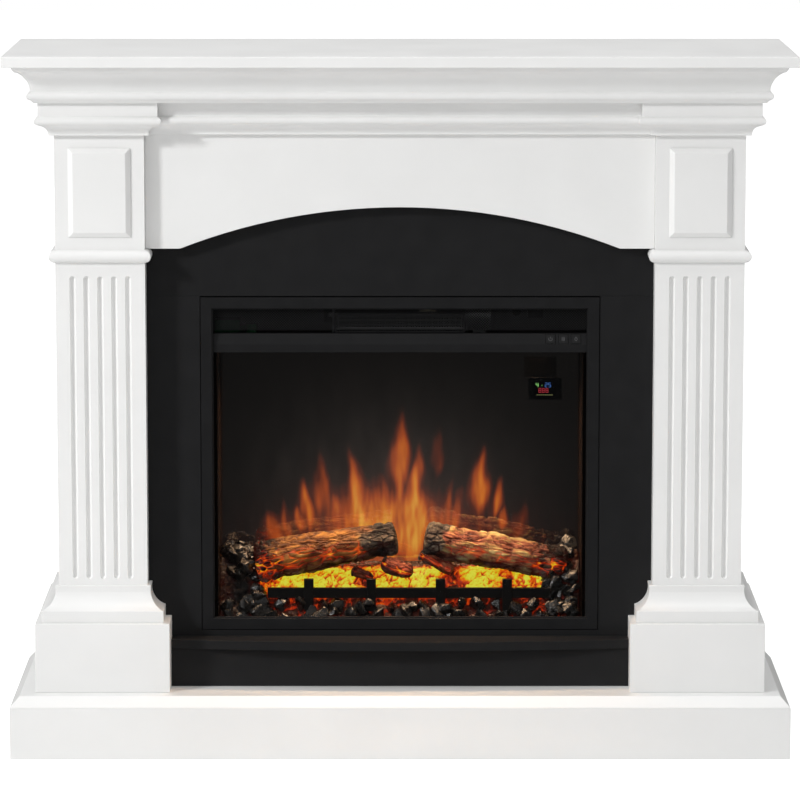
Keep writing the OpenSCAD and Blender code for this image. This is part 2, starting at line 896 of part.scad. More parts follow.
// Section of the fire bed. With w > 0 it is the hollow under the bed, open below.
function bed_outline(w) = let (base = floor_z - (w > 0 ? 1 : 0))
    concat([[bed_y0 + w, base]],
        [for (p = bed_line) [max(bed_y0 + w, min(y_screen - w, bed_y0 + p[0] * bed_depth)),
            floor_z + p[1] - w]],
        [[y_screen - w, base]]);

// Section of the mounds at the bed's ends
mound_h = 96;
mound_left_w = 52;
mound_right_w = 34;
mound_outline = [[bed_y0 + 0.06 * bed_depth, floor_z], [bed_y0 + 0.06 * bed_depth, floor_z + 0.3 * mound_h],
    [bed_y0 + 0.3 * bed_depth, floor_z + 0.9 * mound_h], [bed_y0 + 0.7 * bed_depth, floor_z + mound_h],
    [y_screen, floor_z + 0.95 * mound_h], [y_screen, floor_z]];

module ember_bed() {
    color("orangered") difference() {
        union() {
            along_x(-cheek_x, cheek_x, bed_outline(0));
            along_x(-cheek_x, -cheek_x + mound_left_w, mound_outline);
            along_x(cheek_x - mound_right_w, cheek_x, mound_outline);
        }
        along_x(-cheek_x + mound_left_w, cheek_x - mound_right_w, bed_outline(bed_wall));
    }
}

// Two lamp boards on the case floor: one under the fire bed, one under the spindle
module led_boards() {
    leds = 9;
    lamp = 6;
    board_w = 16;
    half = cheek_x - 60;
    for (y = [bed_y0 + 0.5 * bed_depth, y_spindle - board_w / 2]) color("darkgreen") union() {
        wide(half, [y, floor_z], [y + board_w, floor_z + 1.6]);
        for (i = [0:leds - 1])
            translate([(2 * i / (leds - 1) - 1) * (half - 35) - lamp / 2, y + 5, floor_z + 1])
                cube([lamp, lamp, 3]);
    }
}

// A log that tapers from one end to the other, with a stub of a branch
module log(from, to, d0, d1, stub) {
    v = to - from;
    len = norm(v);
    translate(from) rotate([0, acos(v[2] / len), atan2(v[1], v[0])]) union() {
        cylinder(h = len, d1 = d0, d2 = d1, $fn = 28);
        rotate([0, 0, 200]) translate([d1 / 2 - 6, 0, len * stub]) rotate([0, 60, 0])
            cylinder(h = 14, r = d1 / 5, $fn = 20);
    }
}

log_z = floor_z + 82;
log_rise = 42;
module log_left() {
    color("saddlebrown") log([-0.768 * cheek_x, log_y + 6, log_z],
        [-0.068 * cheek_x, log_y - 2, log_z + log_rise], log_d, 0.75 * log_d, 0.7);
}

module log_right() {
    color("saddlebrown") log([0.213 * cheek_x, log_y - 2, log_z + log_rise],
        [0.866 * cheek_x, log_y + 8, log_z - 4], 0.786 * log_d, 0.75 * log_d, 0.35);
}

// Three short split pieces between the logs, lying on the bed
module kindling() {
    share = 0.33;
    y = bed_y0 + share * bed_depth;
    z = floor_z + lookup(share, bed_line);
    d = stick_d;
    color("sienna") {
        log([-24, y, z + 0.7 * d], [14, y - 2, z + 0.12 * d], d, 0.92 * d, 0.5);
        log([34, y + 1, z + 1.28 * d], [72, y, z + 0.37 * d], 0.92 * d, 0.83 * d, 0.5);
        log([-66, y + 2, z + 0.28 * d], [-44, y, z - 0.05 * d], 0.75 * d, 0.67 * d, 0.4);
    }
}

// One lump of coal: a block with its corners struck off, turned by three angles
module lump(place, s, turn) {
    translate(place) rotate(turn) intersection() {
        cube([2 * s, 1.3 * s, 1.1 * s], center = true);
        rotate([35, 20, 50]) cube([1.8 * s, 1.5 * s, 1.5 * s], center = true);
    }
}

// Coals along the front of the bed in two rows, and heaped up at its ends
coal_n = 26;
heap_n = 9;
module coals() {
    end = cheek_x - 22;
    heap_s = 1.28 * coal_s;
    turns = rands(0, 360, 3 * (coal_n + 2 * heap_n), 7);
    color("#2a2826") {
        for (i = [0:coal_n - 1]) {
            share = i % 2 == 0 ? 0.117 : 0.166;
            lump([(2 * i / (coal_n - 1) - 1) * end, bed_y0 + share * bed_depth,
                floor_z + lookup(share, bed_line) - 1.3 * coal_s], coal_s * (1 + 0.18 * (i % 3)),
                [for (k = [0:2]) turns[3 * i + k]]);
        }
        for (i = [0:heap_n - 1], side = [0, 1]) {
            n = coal_n + i + heap_n * side;
            layer = floor(i / 3);
            lump([(2 * side - 1) * (cheek_x - 16 - 13 * (i % 3)),
                bed_y0 + (0.146 + 0.087 * layer) * bed_depth,
                floor_z + 0.36 * mound_h + 20 * layer], heap_s, [for (k = [0:2]) turns[3 * n + k]]);
        }
    }
}

// Grate: a front bar with four upright posts
module grate() {
    post_down = 20;
    post_up = 13;
    color("#1c1c1c") union() {
        block([grate_x0, grate_y, grate_z], [grate_x1, grate_y + grate_t, grate_z + grate_h]);
        for (share = [-0.505, -0.16, 0.224, 0.593]) {
            x = share * cheek_x;
            block([x - post_w / 2, grate_y - 1, grate_z - post_down],
                [x + post_w / 2, grate_y + grate_t + 1, grate_z + grate_h + post_up]);
        }
    }
}

// Insert: electrics

// Main board on four pillars: transformer, capacitor, three relays and a terminal block
module control_board() {
    size = [80, 100, 1.6];
    pillar_h = 6.5;
    inset = 6;
    color("darkgreen") translate([-case_x + inset, y_blower - size[1] / 2, z_shelf_top]) union() {
        for (x = [inset, size[0] - inset], y = [inset, size[1] - inset])
            translate([x, y, 0]) cylinder(h = pillar_h, r = 3);
        translate([0, 0, pillar_h - 0.5]) cube(size);
        translate([0, 0, pillar_h]) {
            translate([8, 12, 0]) cube([36, 30, 31]);
            translate([60, 26, 0]) cylinder(h = 24, r = 8);
            for (i = [0:2]) translate([8 + i * 22, 50, 0]) cube([16, 26, 17]);
            translate([8, 82, 0]) cube([60, 13, 13]);
        }
    }
}

// Mains rocker, tipped to one side, on a pin along X in the housing's walls
module rocker_switch() {
    half = rocker_w / 2;
    pin = half + 0.3 + housing_wall;
    color("black") union() {
        translate([rocker_x, rocker_y, inlet_z]) rotate([-rocker_tilt, 0, 0])
            along_x(-half, half, [[-6, -4.4], [3.6, -5.4], [4.2, 0], [3.6, 5.4], [-6, 4.4]]);
        bar_x(rocker_x - pin, rocker_x + pin, rocker_pin_r, rocker_y, inlet_z);
    }
}

module inlet_module() {
    y = y_case;
    half_x = rocker_w / 2 + 0.4;
    half_z = rocker_h / 2 + rocker_room;
    color("black") difference() {
        union() {
            block([gland_x - 14, y, inlet_z - 15], [rocker_x + 20, y + 2.5, inlet_z + 15]);
            housing(rocker_y - 9, y + 2);
            translate([gland_x, y - 6, inlet_z]) rotate([-90, 0, 0]) cylinder(h = 7, r = gland_r);
            translate([gland_x, y + 2, inlet_z]) rotate([-90, 0, 0]) cylinder(h = 10, r = gland_r);
        }
        block([rocker_x - half_x, rocker_y - 7.5, inlet_z - half_z],
            [rocker_x + half_x, y + 3, inlet_z + half_z]);
        bar_x(rocker_x - 14, rocker_x + 14, rocker_pin_r + running, rocker_y, inlet_z);
        translate([gland_x, y - 7, inlet_z]) rotate([-90, 0, 0]) cylinder(h = 20, r = cord_hole_r);
    }
}

mantel_shelf();
crown_front();
crown_returns();
capitals();
bead_rings();
raised_panels();
base_mouldings();
base_blocks();
pilaster_front_left();
pilaster_front_right();
pilaster_outer_sides();
pilaster_inner_sides();
frieze_panel();
frieze_moulding();
plinth_top();
plinth_front();
plinth_sides();
back_rails();
arch_backboard();
side_panels();
lower_backboard();
hearth_ledge();
hearth_riser();
insert_shelf();
case_bottom();
case_top();
case_sides();
case_back();
heater_shelf();
firebox_cheeks();
front_bezel();
front_glass();
control_strip();
outlet_grille();
button_power();
button_heat();
button_flame();
button_board();
display_module();
heater_duct();
heating_element();
thermal_cutout();
blower_housing();
blower_impeller();
blower_motor();
flame_screen();
flame_spindle();
flame_motor();
spindle_bearing();
ember_bed();
led_boards();
log_left();
log_right();
kindling();
coals();
grate();
control_board();
rocker_switch();
inlet_module();
case_screws();
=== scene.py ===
# %% [markdown]
# # An electric fireplace
# A white lacquered surround holds a black glass-fronted insert. Behind the glass lie cast resin
# logs and coals on a glowing bed, in front of a dark part-mirror screen on which flames play.
# The CAD frame already has every piece at its true size. This notebook adds what CAD leaves out:
# edges that catch the light, bark and cracks, loose coals, woven mesh, and finishes.

# %% Load the frame
import json
import math
import random

import bmesh
import bpy
import numpy as np
from mathutils import Matrix, Vector, noise


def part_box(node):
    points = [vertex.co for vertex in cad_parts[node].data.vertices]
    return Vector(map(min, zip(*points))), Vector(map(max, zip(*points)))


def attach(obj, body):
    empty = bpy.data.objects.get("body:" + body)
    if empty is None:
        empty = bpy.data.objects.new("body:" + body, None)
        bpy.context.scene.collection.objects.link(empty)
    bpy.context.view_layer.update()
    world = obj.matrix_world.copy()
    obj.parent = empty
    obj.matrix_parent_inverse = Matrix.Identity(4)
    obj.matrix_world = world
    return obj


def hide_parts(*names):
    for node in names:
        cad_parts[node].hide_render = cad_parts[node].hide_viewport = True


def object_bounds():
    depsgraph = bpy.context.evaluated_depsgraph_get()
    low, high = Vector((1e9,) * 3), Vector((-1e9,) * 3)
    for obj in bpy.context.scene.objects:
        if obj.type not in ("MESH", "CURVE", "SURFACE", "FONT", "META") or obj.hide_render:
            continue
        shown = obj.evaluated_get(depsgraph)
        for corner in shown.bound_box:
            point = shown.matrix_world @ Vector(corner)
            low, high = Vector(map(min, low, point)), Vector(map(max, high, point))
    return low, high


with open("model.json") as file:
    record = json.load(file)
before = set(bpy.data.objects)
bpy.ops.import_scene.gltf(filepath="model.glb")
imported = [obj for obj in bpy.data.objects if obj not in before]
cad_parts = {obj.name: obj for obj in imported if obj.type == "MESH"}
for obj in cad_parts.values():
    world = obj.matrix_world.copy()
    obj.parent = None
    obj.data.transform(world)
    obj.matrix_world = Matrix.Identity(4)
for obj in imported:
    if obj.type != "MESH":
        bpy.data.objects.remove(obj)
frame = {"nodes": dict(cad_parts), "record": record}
cad_box = [list(corner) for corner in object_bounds()]
MM = 0.001
PER_M = 1000
BODY = "fireplace"
print("nodes:", len(frame["nodes"]), "box:", [round(v, 3) for corner in cad_box for v in corner])

# %% [markdown]
# ## Camera
# The fireplace is seen square-on from a little above its shelf. A short lens close by would splay
# the uprights, and a flat orthographic view would lose the depth of the shelf and the plinth. So a
# long lens stands far back, which flattens the perspective as a catalogue view does.

# %% Camera
low, high = (Vector(corner) for corner in cad_box)
camera_distance = 6.0
camera_height = 1.5
camera_pitch = math.radians(8.5)
lens_mm = 193
lens_shift = -0.07
camera = bpy.data.objects.new("camera", bpy.data.cameras.new("camera"))
camera.location = (0, low.y - camera_distance, camera_height)
camera.rotation_euler = (math.radians(90) - camera_pitch, 0, 0)
camera.data.lens = lens_mm
camera.data.shift_y = lens_shift
camera.data.clip_end = 50
bpy.context.collection.objects.link(camera)
bpy.context.scene.camera = camera
print("camera", camera_distance, "m in front, lens", camera.data.lens, "mm")

# %% [markdown]
# ## Colours and nodes
# Colours are written as sRGB hex values, as a paint card gives them. Blender's sockets take linear
# light, so one function turns the one into the other. Nodes could be placed by hand in the editor.
# Here one small function adds a node with its settings and links, so that each finish reads from
# top to bottom like a recipe.

# %% Helpers for colour and nodes
def linear(colour):
    """An sRGB hex value such as "E8E8E6" as the linear RGBA that Blender's sockets take."""
    parts = [int(colour[i:i + 2], 16) / 255 for i in (0, 2, 4)]
    return [p / 12.92 if p <= 0.04045 else ((p + 0.055) / 1.055) ** 2.4 for p in parts] + [1.0]


def fit(tree, node, inputs):
    """Sets a node's inputs, each to a value or to a link from another node's output."""
    for key, value in inputs.items():
        if isinstance(value, bpy.types.NodeSocket):
            tree.links.new(value, node.inputs[key])
        else:
            node.inputs[key].default_value = value


def add(tree, kind, inputs=None, stops=(), **settings):
    """Adds a node with its settings and inputs, and (place, colour) stops where it has a ramp."""
    node = tree.nodes.new(kind)
    for name, value in settings.items():
        setattr(node, name, value)
    fit(tree, node, inputs or {})
    for number, (position, colour) in enumerate(stops):
        elements = node.color_ramp.elements
        element = elements[number] if number < 2 else elements.new(position)
        element.position, element.color = position, linear(colour)
    return node


print("hex 808080 in linear light:", round(linear("808080")[0], 3))

# %% [markdown]
# ## World, floor and lamps
# White lacquer on a white floor needs light with a direction, or its edges vanish. A bright dome
# alone would fill every shadow. So a pale world gives the fill, and one soft lamp high on the left
# gives each moulding a bright left bevel and a grey right one. The world is darker where it is
# mirrored, so that black pieces stay black. The floor is part of the stage and not of the
# fireplace.

# %% World
scene = bpy.context.scene
scene.view_settings.view_transform = "Standard"
world = bpy.data.worlds.new("pale_room")
world.use_nodes = True
scene.world = world
tree = world.node_tree
tree.nodes.clear()
ray = add(tree, "ShaderNodeLightPath").outputs
# Three strengths of the same white: what gloss mirrors, darker near the floor; what fills the
# shadows; and what the camera sees behind the fireplace.
direction = add(tree, "ShaderNodeTexCoord").outputs["Generated"]
upward = add(tree, "ShaderNodeSeparateXYZ", {0: direction}).outputs["Z"]
raised = add(tree, "ShaderNodeMapRange", {
    "Value": upward, "From Min": 0.0, "From Max": 0.35, "To Min": 0.05, "To Max": 0.75}).outputs[0]
fill = add(tree, "ShaderNodeBackground", {"Color": linear("F9F9F9"), "Strength": 0.56}).outputs[0]
mirrored = add(tree, "ShaderNodeBackground", {"Color": linear("F9F9F9"), "Strength": raised}).outputs[0]
seen = add(tree, "ShaderNodeBackground", {"Color": linear("FFFFFF"), "Strength": 1.0}).outputs[0]
lit = add(tree, "ShaderNodeMixShader", {0: ray["Is Glossy Ray"], 1: fill, 2: mirrored}).outputs[0]
room = add(tree, "ShaderNodeMixShader", {0: ray["Is Camera Ray"], 1: lit, 2: seen}).outputs[0]
add(tree, "ShaderNodeOutputWorld", {"Surface": room})
print("world nodes:", len(tree.nodes))

# %% Floor
floor_size = 30
# The floor glows a little to the camera only, so that it meets the white world without a line.
floor_lift = 0.65
bpy.ops.mesh.primitive_plane_add(size=floor_size, location=(0, 0, low.z))
floor = bpy.context.object
floor.name = "floor"
floor_paint = bpy.data.materials.new("pale_floor")
floor_paint.use_nodes = True
tree = floor_paint.node_tree
to_camera = add(tree, "ShaderNodeLightPath").outputs["Is Camera Ray"]
lift = add(tree, "ShaderNodeMath", {0: to_camera, 1: floor_lift}, operation="MULTIPLY").outputs[0]
fit(tree, tree.nodes["Principled BSDF"], {
    "Base Color": linear("F6F6F6"), "Roughness": 0.9,
    "Emission Color": linear("FFFFFF"), "Emission Strength": lift})
floor.visible_glossy = False
floor.data.materials.append(floor_paint)
print("floor:", floor_size, "m square")


# %% Lamps
def lamp(name, place, target, power, size, colour="FFFFFF"):
    """A square area lamp of a size in metres and a power in watts, turned to its target."""
    data = bpy.data.lights.new(name, "AREA")
    data.energy, data.size, data.color = power, size, linear(colour)[:3]
    made = bpy.data.objects.new(name, data)
    made.location = place
    made.rotation_euler = (Vector(target) - made.location).to_track_quat("-Z", "Y").to_euler()
    bpy.context.collection.objects.link(made)
    return made


key = lamp("key", (-5.0, -3.3, 3.5), (low + high) / 2, 248, 0.8)
overhead = lamp("overhead", (0.3, -0.6, 4.0), (0, 0, 0.9), 38, 2.0)
print("lamps:", key.name, overhead.name)

# %% [markdown]
# ## Finishes
# Each finish starts from what the real one is. A plain principled shader would look like plastic
# from edge to edge, because no sprayed or moulded surface is even. An image texture would need a
# picture for each. Noise at a true size in millimetres is enough: a fine one is the relief, and a
# broad one lets colour and gloss wander a little. All patterns read Object coordinates, which here
# are metres from the fireplace's origin.

# %% A base for every finish
def finish(name, colour, roughness, metallic=0.0, specular=0.5):
    """A new material: itself, its node tree, its shader, and the piece's own coordinates."""
    made = bpy.data.materials.new(name)
    made.use_nodes = True
    tree = made.node_tree
    shader = tree.nodes["Principled BSDF"]
    fit(tree, shader, {"Base Color": linear(colour), "Roughness": roughness,
                       "Metallic": metallic, "Specular IOR Level": specular})
    return made, tree, shader, add(tree, "ShaderNodeTexCoord").outputs["Object"]


def darker(colour, kept):
    """A hex colour with only a share of each of its parts kept."""
    return "".join(f"{int(int(colour[i:i + 2], 16) * kept):02X}" for i in (0, 2, 4))


def surface(name, colour, roughness, size_mm, depth_mm, spread=0.06, tone=0.04, **base):
    """A finish with relief size_mm across and depth_mm deep, and a broad drift of tone and gloss."""
    made, tree, shader, place = finish(name, colour, roughness, **base)
    fine = add(tree, "ShaderNodeTexNoise", {
        "Vector": place, "Scale": PER_M / size_mm, "Detail": 2.0}).outputs["Fac"]
    broad = add(tree, "ShaderNodeTexNoise", {
        "Vector": place, "Scale": PER_M / (60 * size_mm), "Detail": 3.0}).outputs["Fac"]
    fit(tree, shader, {
        "Base Color": add(tree, "ShaderNodeValToRGB", {"Fac": broad},
                          [(0.3, darker(colour, 1 - tone)), (0.7, colour)]).outputs["Color"],
        "Roughness": add(tree, "ShaderNodeMapRange", {
            "Value": broad, "To Min": roughness - spread, "To Max": roughness + spread}).outputs[0],
        "Normal": add(tree, "ShaderNodeBump", {
            "Height": fine, "Distance": depth_mm * MM, "Strength": 1.0}).outputs[0]})
    return made


# Satin lacquer sprayed on MDF: nearly white, with a soft sheen and a faint orange peel.
white_lacquer = surface("white_satin_lacquer", "EBEBEA", 0.34, 1.6, 0.012, tone=0.012)
lacquer_tree = white_lacquer.node_tree
fit(lacquer_tree, lacquer_tree.nodes["Principled BSDF"], {"Coat Weight": 0.12, "Coat Roughness": 0.22})
print("lacquer nodes:", len(lacquer_tree.nodes))

# %% Board and sheet finishes
# Black satin laminate on board: a fine pebbled skin that dulls the light.
black_laminate = surface("black_satin_laminate", "1D1D1E", 0.52, 0.5, 0.02, specular=0.2, tone=0.1)
# Baked powder coat on steel: tiny bumps give a soft, sandy gloss.
powder_coat = surface("black_powder_coat", "1D1D1E", 0.5, 0.35, 0.03, specular=0.14, tone=0.08)
# The same coat in dark grey, on the sheets of the case: a dull and slightly cloudy back.
case_coat = surface("grey_powder_coat", "3A3A3C", 0.55, 0.4, 0.03, tone=0.1)
# Chipboard, pressed and left bare: matt, with flakes of several tones of tan.
chipboard = surface("bare_chipboard", "B49468", 0.8, 2.5, 0.15, spread=0.05, tone=0.35)
# The cheeks are steel with a satin brown-black coat that mirrors the glow beside it. Part of the
# brown in its colour is a painted reflection of that glow.
cheek_coat_and_painted_reflection = surface("brown_black_cheek_coat_and_painted_reflection", "36261D", 0.2, 0.9, 0.012, spread=0.04, tone=0.15,
                     specular=0.6)
print("finishes:", len(bpy.data.materials))

# %% Metals
# Hot-dip galvanised sheet: a grey metal with large soft spangles.
galvanised = surface("galvanised_sheet", "9A9C9E", 0.38, 3.0, 0.01, spread=0.1, tone=0.2, metallic=1.0)
# Thin stamped aluminium, for the heater's fins and the fan's blades: pale, with a clean bright gloss.
aluminium = surface("stamped_aluminium", "C4C5C7", 0.3, 0.8, 0.01, spread=0.08, tone=0.08, metallic=1.0)
# Zinc plate on drawn steel, as on small motors: a little darker and softer than bare aluminium.
zinc_plate = surface("zinc_plate", "A9ABAC", 0.34, 0.6, 0.01, spread=0.06, tone=0.1, metallic=1.0)
# Crumpled polished foil: nearly a mirror, broken into facets that throw sparks of light.
bright_foil = surface("bright_foil", "E2E0DA", 0.12, 4.0, 0.2, spread=0.05, tone=0.05, metallic=1.0)
# Blackened cast iron: the grain of the sand mould takes the shine off it. Screws share its black.
cast_black = surface("blackened_iron", "131110", 0.55, 1.2, 0.25, specular=0.3, tone=0.3)
print("finishes:", len(bpy.data.materials))

# %% Plastics, ceramic and circuit boards
# Moulded ABS with a fine spark-eroded texture: black, even and half matt.
moulded_black = surface("moulded_black_abs", "161617", 0.42, 0.3, 0.015, specular=0.3, tone=0.1)
# ABS from a polished mould: the same black with sharp reflections.
gloss_black = surface("gloss_black_abs", "121213", 0.16, 0.8, 0.005, spread=0.03, tone=0.1)
# Unglazed pressed ceramic: a chalky cream without any gloss.
ceramic = surface("unglazed_ceramic", "D8CDB4", 0.7, 0.5, 0.03, tone=0.08)
# Solder mask over copper: dark green and glossy, and a little cloudy.
solder_mask = surface("green_solder_mask", "1C5230", 0.25, 0.6, 0.01, tone=0.2)
print("finishes:", len(bpy.data.materials))

# %% [markdown]
# ### Smoked glass
# The front pane is smoked toughened glass, which swallows much of what passes through it. True
# refraction through 4 mm of flat glass would move nothing that the eye could notice, and it renders
# with noise. So the pane is a dark gloss that lets most light straight through by its alpha.

# %% Smoked glass
# Float glass, tinted and polished: a dark veil with clear reflections and the faintest smears.
smoked_glass, tree, shader, place = finish("smoked_toughened_glass", "050505", 0.03, specular=0.35)
smear_mm = 90
smears = add(tree, "ShaderNodeTexNoise", {
    "Vector": place, "Scale": PER_M / smear_mm, "Detail": 4.0}).outputs["Fac"]
fit(tree, shader, {
    "Alpha": 0.22,
    "Roughness": add(tree, "ShaderNodeMapRange", {
        "Value": smears, "To Min": 0.02, "To Max": 0.06}).outputs[0]})
print("glass lets through:", round(1 - shader.inputs["Alpha"].default_value, 2))

# %% [markdown]
# ### Which piece has which finish
# Pieces that stay as CAD made them only need a finish. Each could be coated by hand; a table is
# shorter, and shows at a glance what is made of what.

# %% Give the CAD nodes their finishes
FINISHES = {
    white_lacquer: ["back_rails"],
    chipboard: ["insert_shelf"],
    case_coat: ["case_bottom", "case_top", "case_sides", "case_back", "heater_shelf"],
    powder_coat: ["heater_duct"],
    galvanised: ["blower_housing", "spindle_bearing"],
    aluminium: ["heating_element", "blower_impeller"],
    zinc_plate: ["blower_motor", "flame_motor"],
    cast_black: ["case_screws"],
    bright_foil: ["flame_spindle"],
    ceramic: ["thermal_cutout"],
    moulded_black: ["inlet_module"],
    gloss_black: ["rocker_switch", "display_module"],
    solder_mask: ["button_board", "led_boards", "control_board"],
    cheek_coat_and_painted_reflection: ["firebox_cheeks"],
    smoked_glass: ["front_glass"],
}
for material, names in FINISHES.items():
    for name in names:
        mesh = frame["nodes"][name].data
        mesh.materials.clear()
        mesh.materials.append(material)
print("finished CAD nodes:", sum(len(names) for names in FINISHES.values()))

# %% [markdown]
# ## Edges that catch the light
# CAD leaves every arris razor sharp, and a razor-sharp edge is the surest sign of a computer
# model. A sprayed board has an edge radius of about a millimetre. The radius could be cut in CAD,
# but it would fail on the finest mouldings. So each board is copied, its loose triangles are merged
# and flat ones dissolved, and a Bevel modifier rounds what is left.

# %% A rounded copy of a CAD node
def slot_of(node):
    """The record's material slot of a CAD node."""
    return next(part["material_slot"] for part in frame["record"]["subparts"] if part["node"] == node)


def set_out(name, mesh, material, body=BODY):
    """Makes a mesh a piece: coated, and riding on its body."""
    mesh.materials.clear()
    mesh.materials.append(material)
    piece = bpy.data.objects.new(name, mesh)
    bpy.context.collection.objects.link(piece)
    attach(piece, body)
    return piece


def rounded(node, material, radius_mm, body=BODY):
    """Replaces a CAD node by a copy of itself whose edges are rounded."""
    mesh = frame["nodes"][node].data.copy()
    shape = bmesh.new()
    shape.from_mesh(mesh)
    bmesh.ops.remove_doubles(shape, verts=shape.verts, dist=0.02 * MM)
    bmesh.ops.dissolve_limit(shape, angle_limit=math.radians(0.4), verts=shape.verts, edges=shape.edges)
    shape.to_mesh(mesh)
    shape.free()
    mesh.shade_smooth()
    mesh.set_sharp_from_angle(angle=math.radians(14))
    piece = set_out(node + "_finished", mesh, material, body)
    bevel = piece.modifiers.new("edges", "BEVEL")
    bevel.width, bevel.segments, bevel.limit_method = radius_mm * MM, 2, "ANGLE"
    bevel.angle_limit, bevel.harden_normals = math.radians(18), True
    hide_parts(node)


rounded("mantel_shelf", white_lacquer, 0.9)
print("shelf slot:", slot_of("mantel_shelf"))

# %% Round the boards, the bezel and the buttons
WHITE = ["crown_front", "crown_returns", "capitals", "bead_rings", "raised_panels", "base_mouldings",
         "base_blocks", "pilaster_front_left", "pilaster_front_right", "pilaster_outer_sides",
         "pilaster_inner_sides", "frieze_panel", "frieze_moulding", "plinth_top", "plinth_front",
         "plinth_sides"]
for node in WHITE:
    rounded(node, white_lacquer, 0.9)
for node in ["arch_backboard", "side_panels", "lower_backboard", "hearth_ledge", "hearth_riser"]:
    rounded(node, black_laminate, 0.5)
rounded("front_bezel", powder_coat, 0.5)
rounded("control_strip", powder_coat, 0.3)
rounded("grate", cast_black, 1.0)
for name in ("power", "heat", "flame"):
    rounded(f"button_{name}", moulded_black, 0.3, body=f"{name}_button")

# %% [markdown]
# ## Woven mesh over the warm-air outlet
# A fine black wire mesh keeps fingers out of the heater. It could be a see-through texture on a
# plate, but that has no thickness from the side. Geometry Nodes weave real wire: a square grid is
# turned by 45 degrees, what falls outside the outlet is deleted, and each remaining edge becomes a
# thin wire with closed ends. The pitch is coarser than the real one, so that it shows in a picture.

# %% Helpers for geometry trees
def geometry_tree(name, inputs):
    """An empty geometry tree and its inputs. inputs maps each name to a socket type."""
    tree = bpy.data.node_groups.new(name, "GeometryNodeTree")
    tree.interface.new_socket("Geometry", in_out="INPUT", socket_type="NodeSocketGeometry")
    tree.interface.new_socket("Geometry", in_out="OUTPUT", socket_type="NodeSocketGeometry")
    for label, kind in inputs.items():
        tree.interface.new_socket(label, in_out="INPUT", socket_type=kind)
    return tree, tree.nodes.new("NodeGroupInput").outputs


def grow(name, source, tree, values, node):
    """Runs a geometry tree on a source mesh and keeps a plain mesh, in place of a CAD node."""
    piece = bpy.data.objects.new(name, source)
    bpy.context.collection.objects.link(piece)
    modifier = piece.modifiers.new("nodes", "NODES")
    modifier.node_group = tree
    for socket in tree.interface.items_tree:
        if socket.in_out == "INPUT" and socket.name in values:
            modifier[socket.identifier] = values[socket.name]
    view = bpy.context.evaluated_depsgraph_get()
    result = bpy.data.meshes.new_from_object(piece.evaluated_get(view))
    piece.modifiers.clear()
    piece.data = result
    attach(piece, BODY)
    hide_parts(node)
    return piece


grille_low, grille_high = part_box("outlet_grille")
print("outlet, mm:", [round(side * PER_M, 1) for side in grille_high - grille_low])


# %% Weave the mesh
def weave_tree():
    """Wires on a grid turned by 45 degrees, as wide and high as asked, round the origin."""
    tree, given = geometry_tree("woven_mesh", {
        "Width": "NodeSocketFloat", "Height": "NodeSocketFloat", "Pitch": "NodeSocketFloat",
        "Wire": "NodeSocketFloat", "Finish": "NodeSocketMaterial"})
    across = add(tree, "ShaderNodeMath", {0: given["Width"], 1: given["Height"]}, operation="ADD")
    side = add(tree, "ShaderNodeMath", {0: across.outputs[0], 1: math.sqrt(2)}, operation="DIVIDE").outputs[0]
    count = add(tree, "ShaderNodeMath", {0: side, 1: given["Pitch"]}, operation="DIVIDE").outputs[0]
    grid = add(tree, "GeometryNodeMeshGrid", {
        "Size X": side, "Size Y": side, "Vertices X": count, "Vertices Y": count})
    turned = add(tree, "GeometryNodeTransform", {
        "Geometry": grid.outputs[0], "Rotation": (0, 0, math.radians(45))})
    spot = add(tree, "ShaderNodeSeparateXYZ", {0: add(tree, "GeometryNodeInputPosition").outputs[0]})
    outside = []
    for axis, size in (("X", given["Width"]), ("Y", given["Height"])):
        reach = add(tree, "ShaderNodeMath", {0: spot.outputs[axis]}, operation="ABSOLUTE").outputs[0]
        half = add(tree, "ShaderNodeMath", {0: size, 1: 0.5}, operation="MULTIPLY").outputs[0]
        past = add(tree, "ShaderNodeMath", {0: reach, 1: half}, operation="GREATER_THAN")
        outside.append(past.outputs[0])
    either = add(tree, "ShaderNodeMath", {0: outside[0], 1: outside[1]}, operation="MAXIMUM").outputs[0]
    kept = add(tree, "GeometryNodeDeleteGeometry", {"Geometry": turned.outputs[0], "Selection": either})
    wires = add(tree, "GeometryNodeMeshToCurve", {0: kept.outputs[0]})
    section = add(tree, "GeometryNodeCurvePrimitiveCircle", {"Resolution": 4, "Radius": given["Wire"]})
    solid = add(tree, "GeometryNodeCurveToMesh", {
        "Curve": wires.outputs[0], "Profile Curve": section.outputs[0], "Fill Caps": True})
    upright = add(tree, "GeometryNodeTransform", {
        "Geometry": solid.outputs[0], "Rotation": (math.radians(90), 0, 0)})
    real = add(tree, "GeometryNodeRealizeInstances", {0: upright.outputs[0]})
    coated = add(tree, "GeometryNodeSetMaterial", {"Geometry": real.outputs[0], "Material": given["Finish"]})
    add(tree, "NodeGroupOutput", {0: coated.outputs[0]})
    return tree


wire_pitch = 2.6 * MM
wire_radius = 0.42 * MM
grille_lip = 4 * MM
woven = grow("outlet_mesh", bpy.data.meshes.new("outlet_mesh"), weave_tree(), {
    "Width": grille_high.x - grille_low.x - 2 * grille_lip,
    "Height": grille_high.z - grille_low.z - 2 * grille_lip,
    "Pitch": wire_pitch, "Wire": wire_radius, "Finish": powder_coat}, "outlet_grille")
woven.data.transform(Matrix.Translation((grille_low + grille_high) / 2))
print("outlet mesh faces:", len(woven.data.polygons))

# %% [markdown]
# ## The fire bed
# Logs, coals and embers are cast in resin, lit from below by lamps, and painted by hand. Their
# shape carries the picture: bark plates, long drying cracks and chipped facets. They could be
# sculpted with a brush, but a script has no hand. So each surface is a fine net of points pushed in
# and out by noise. The same noise is kept as attributes, so that the glow sits exactly in the
# cracks and the char on the ends.

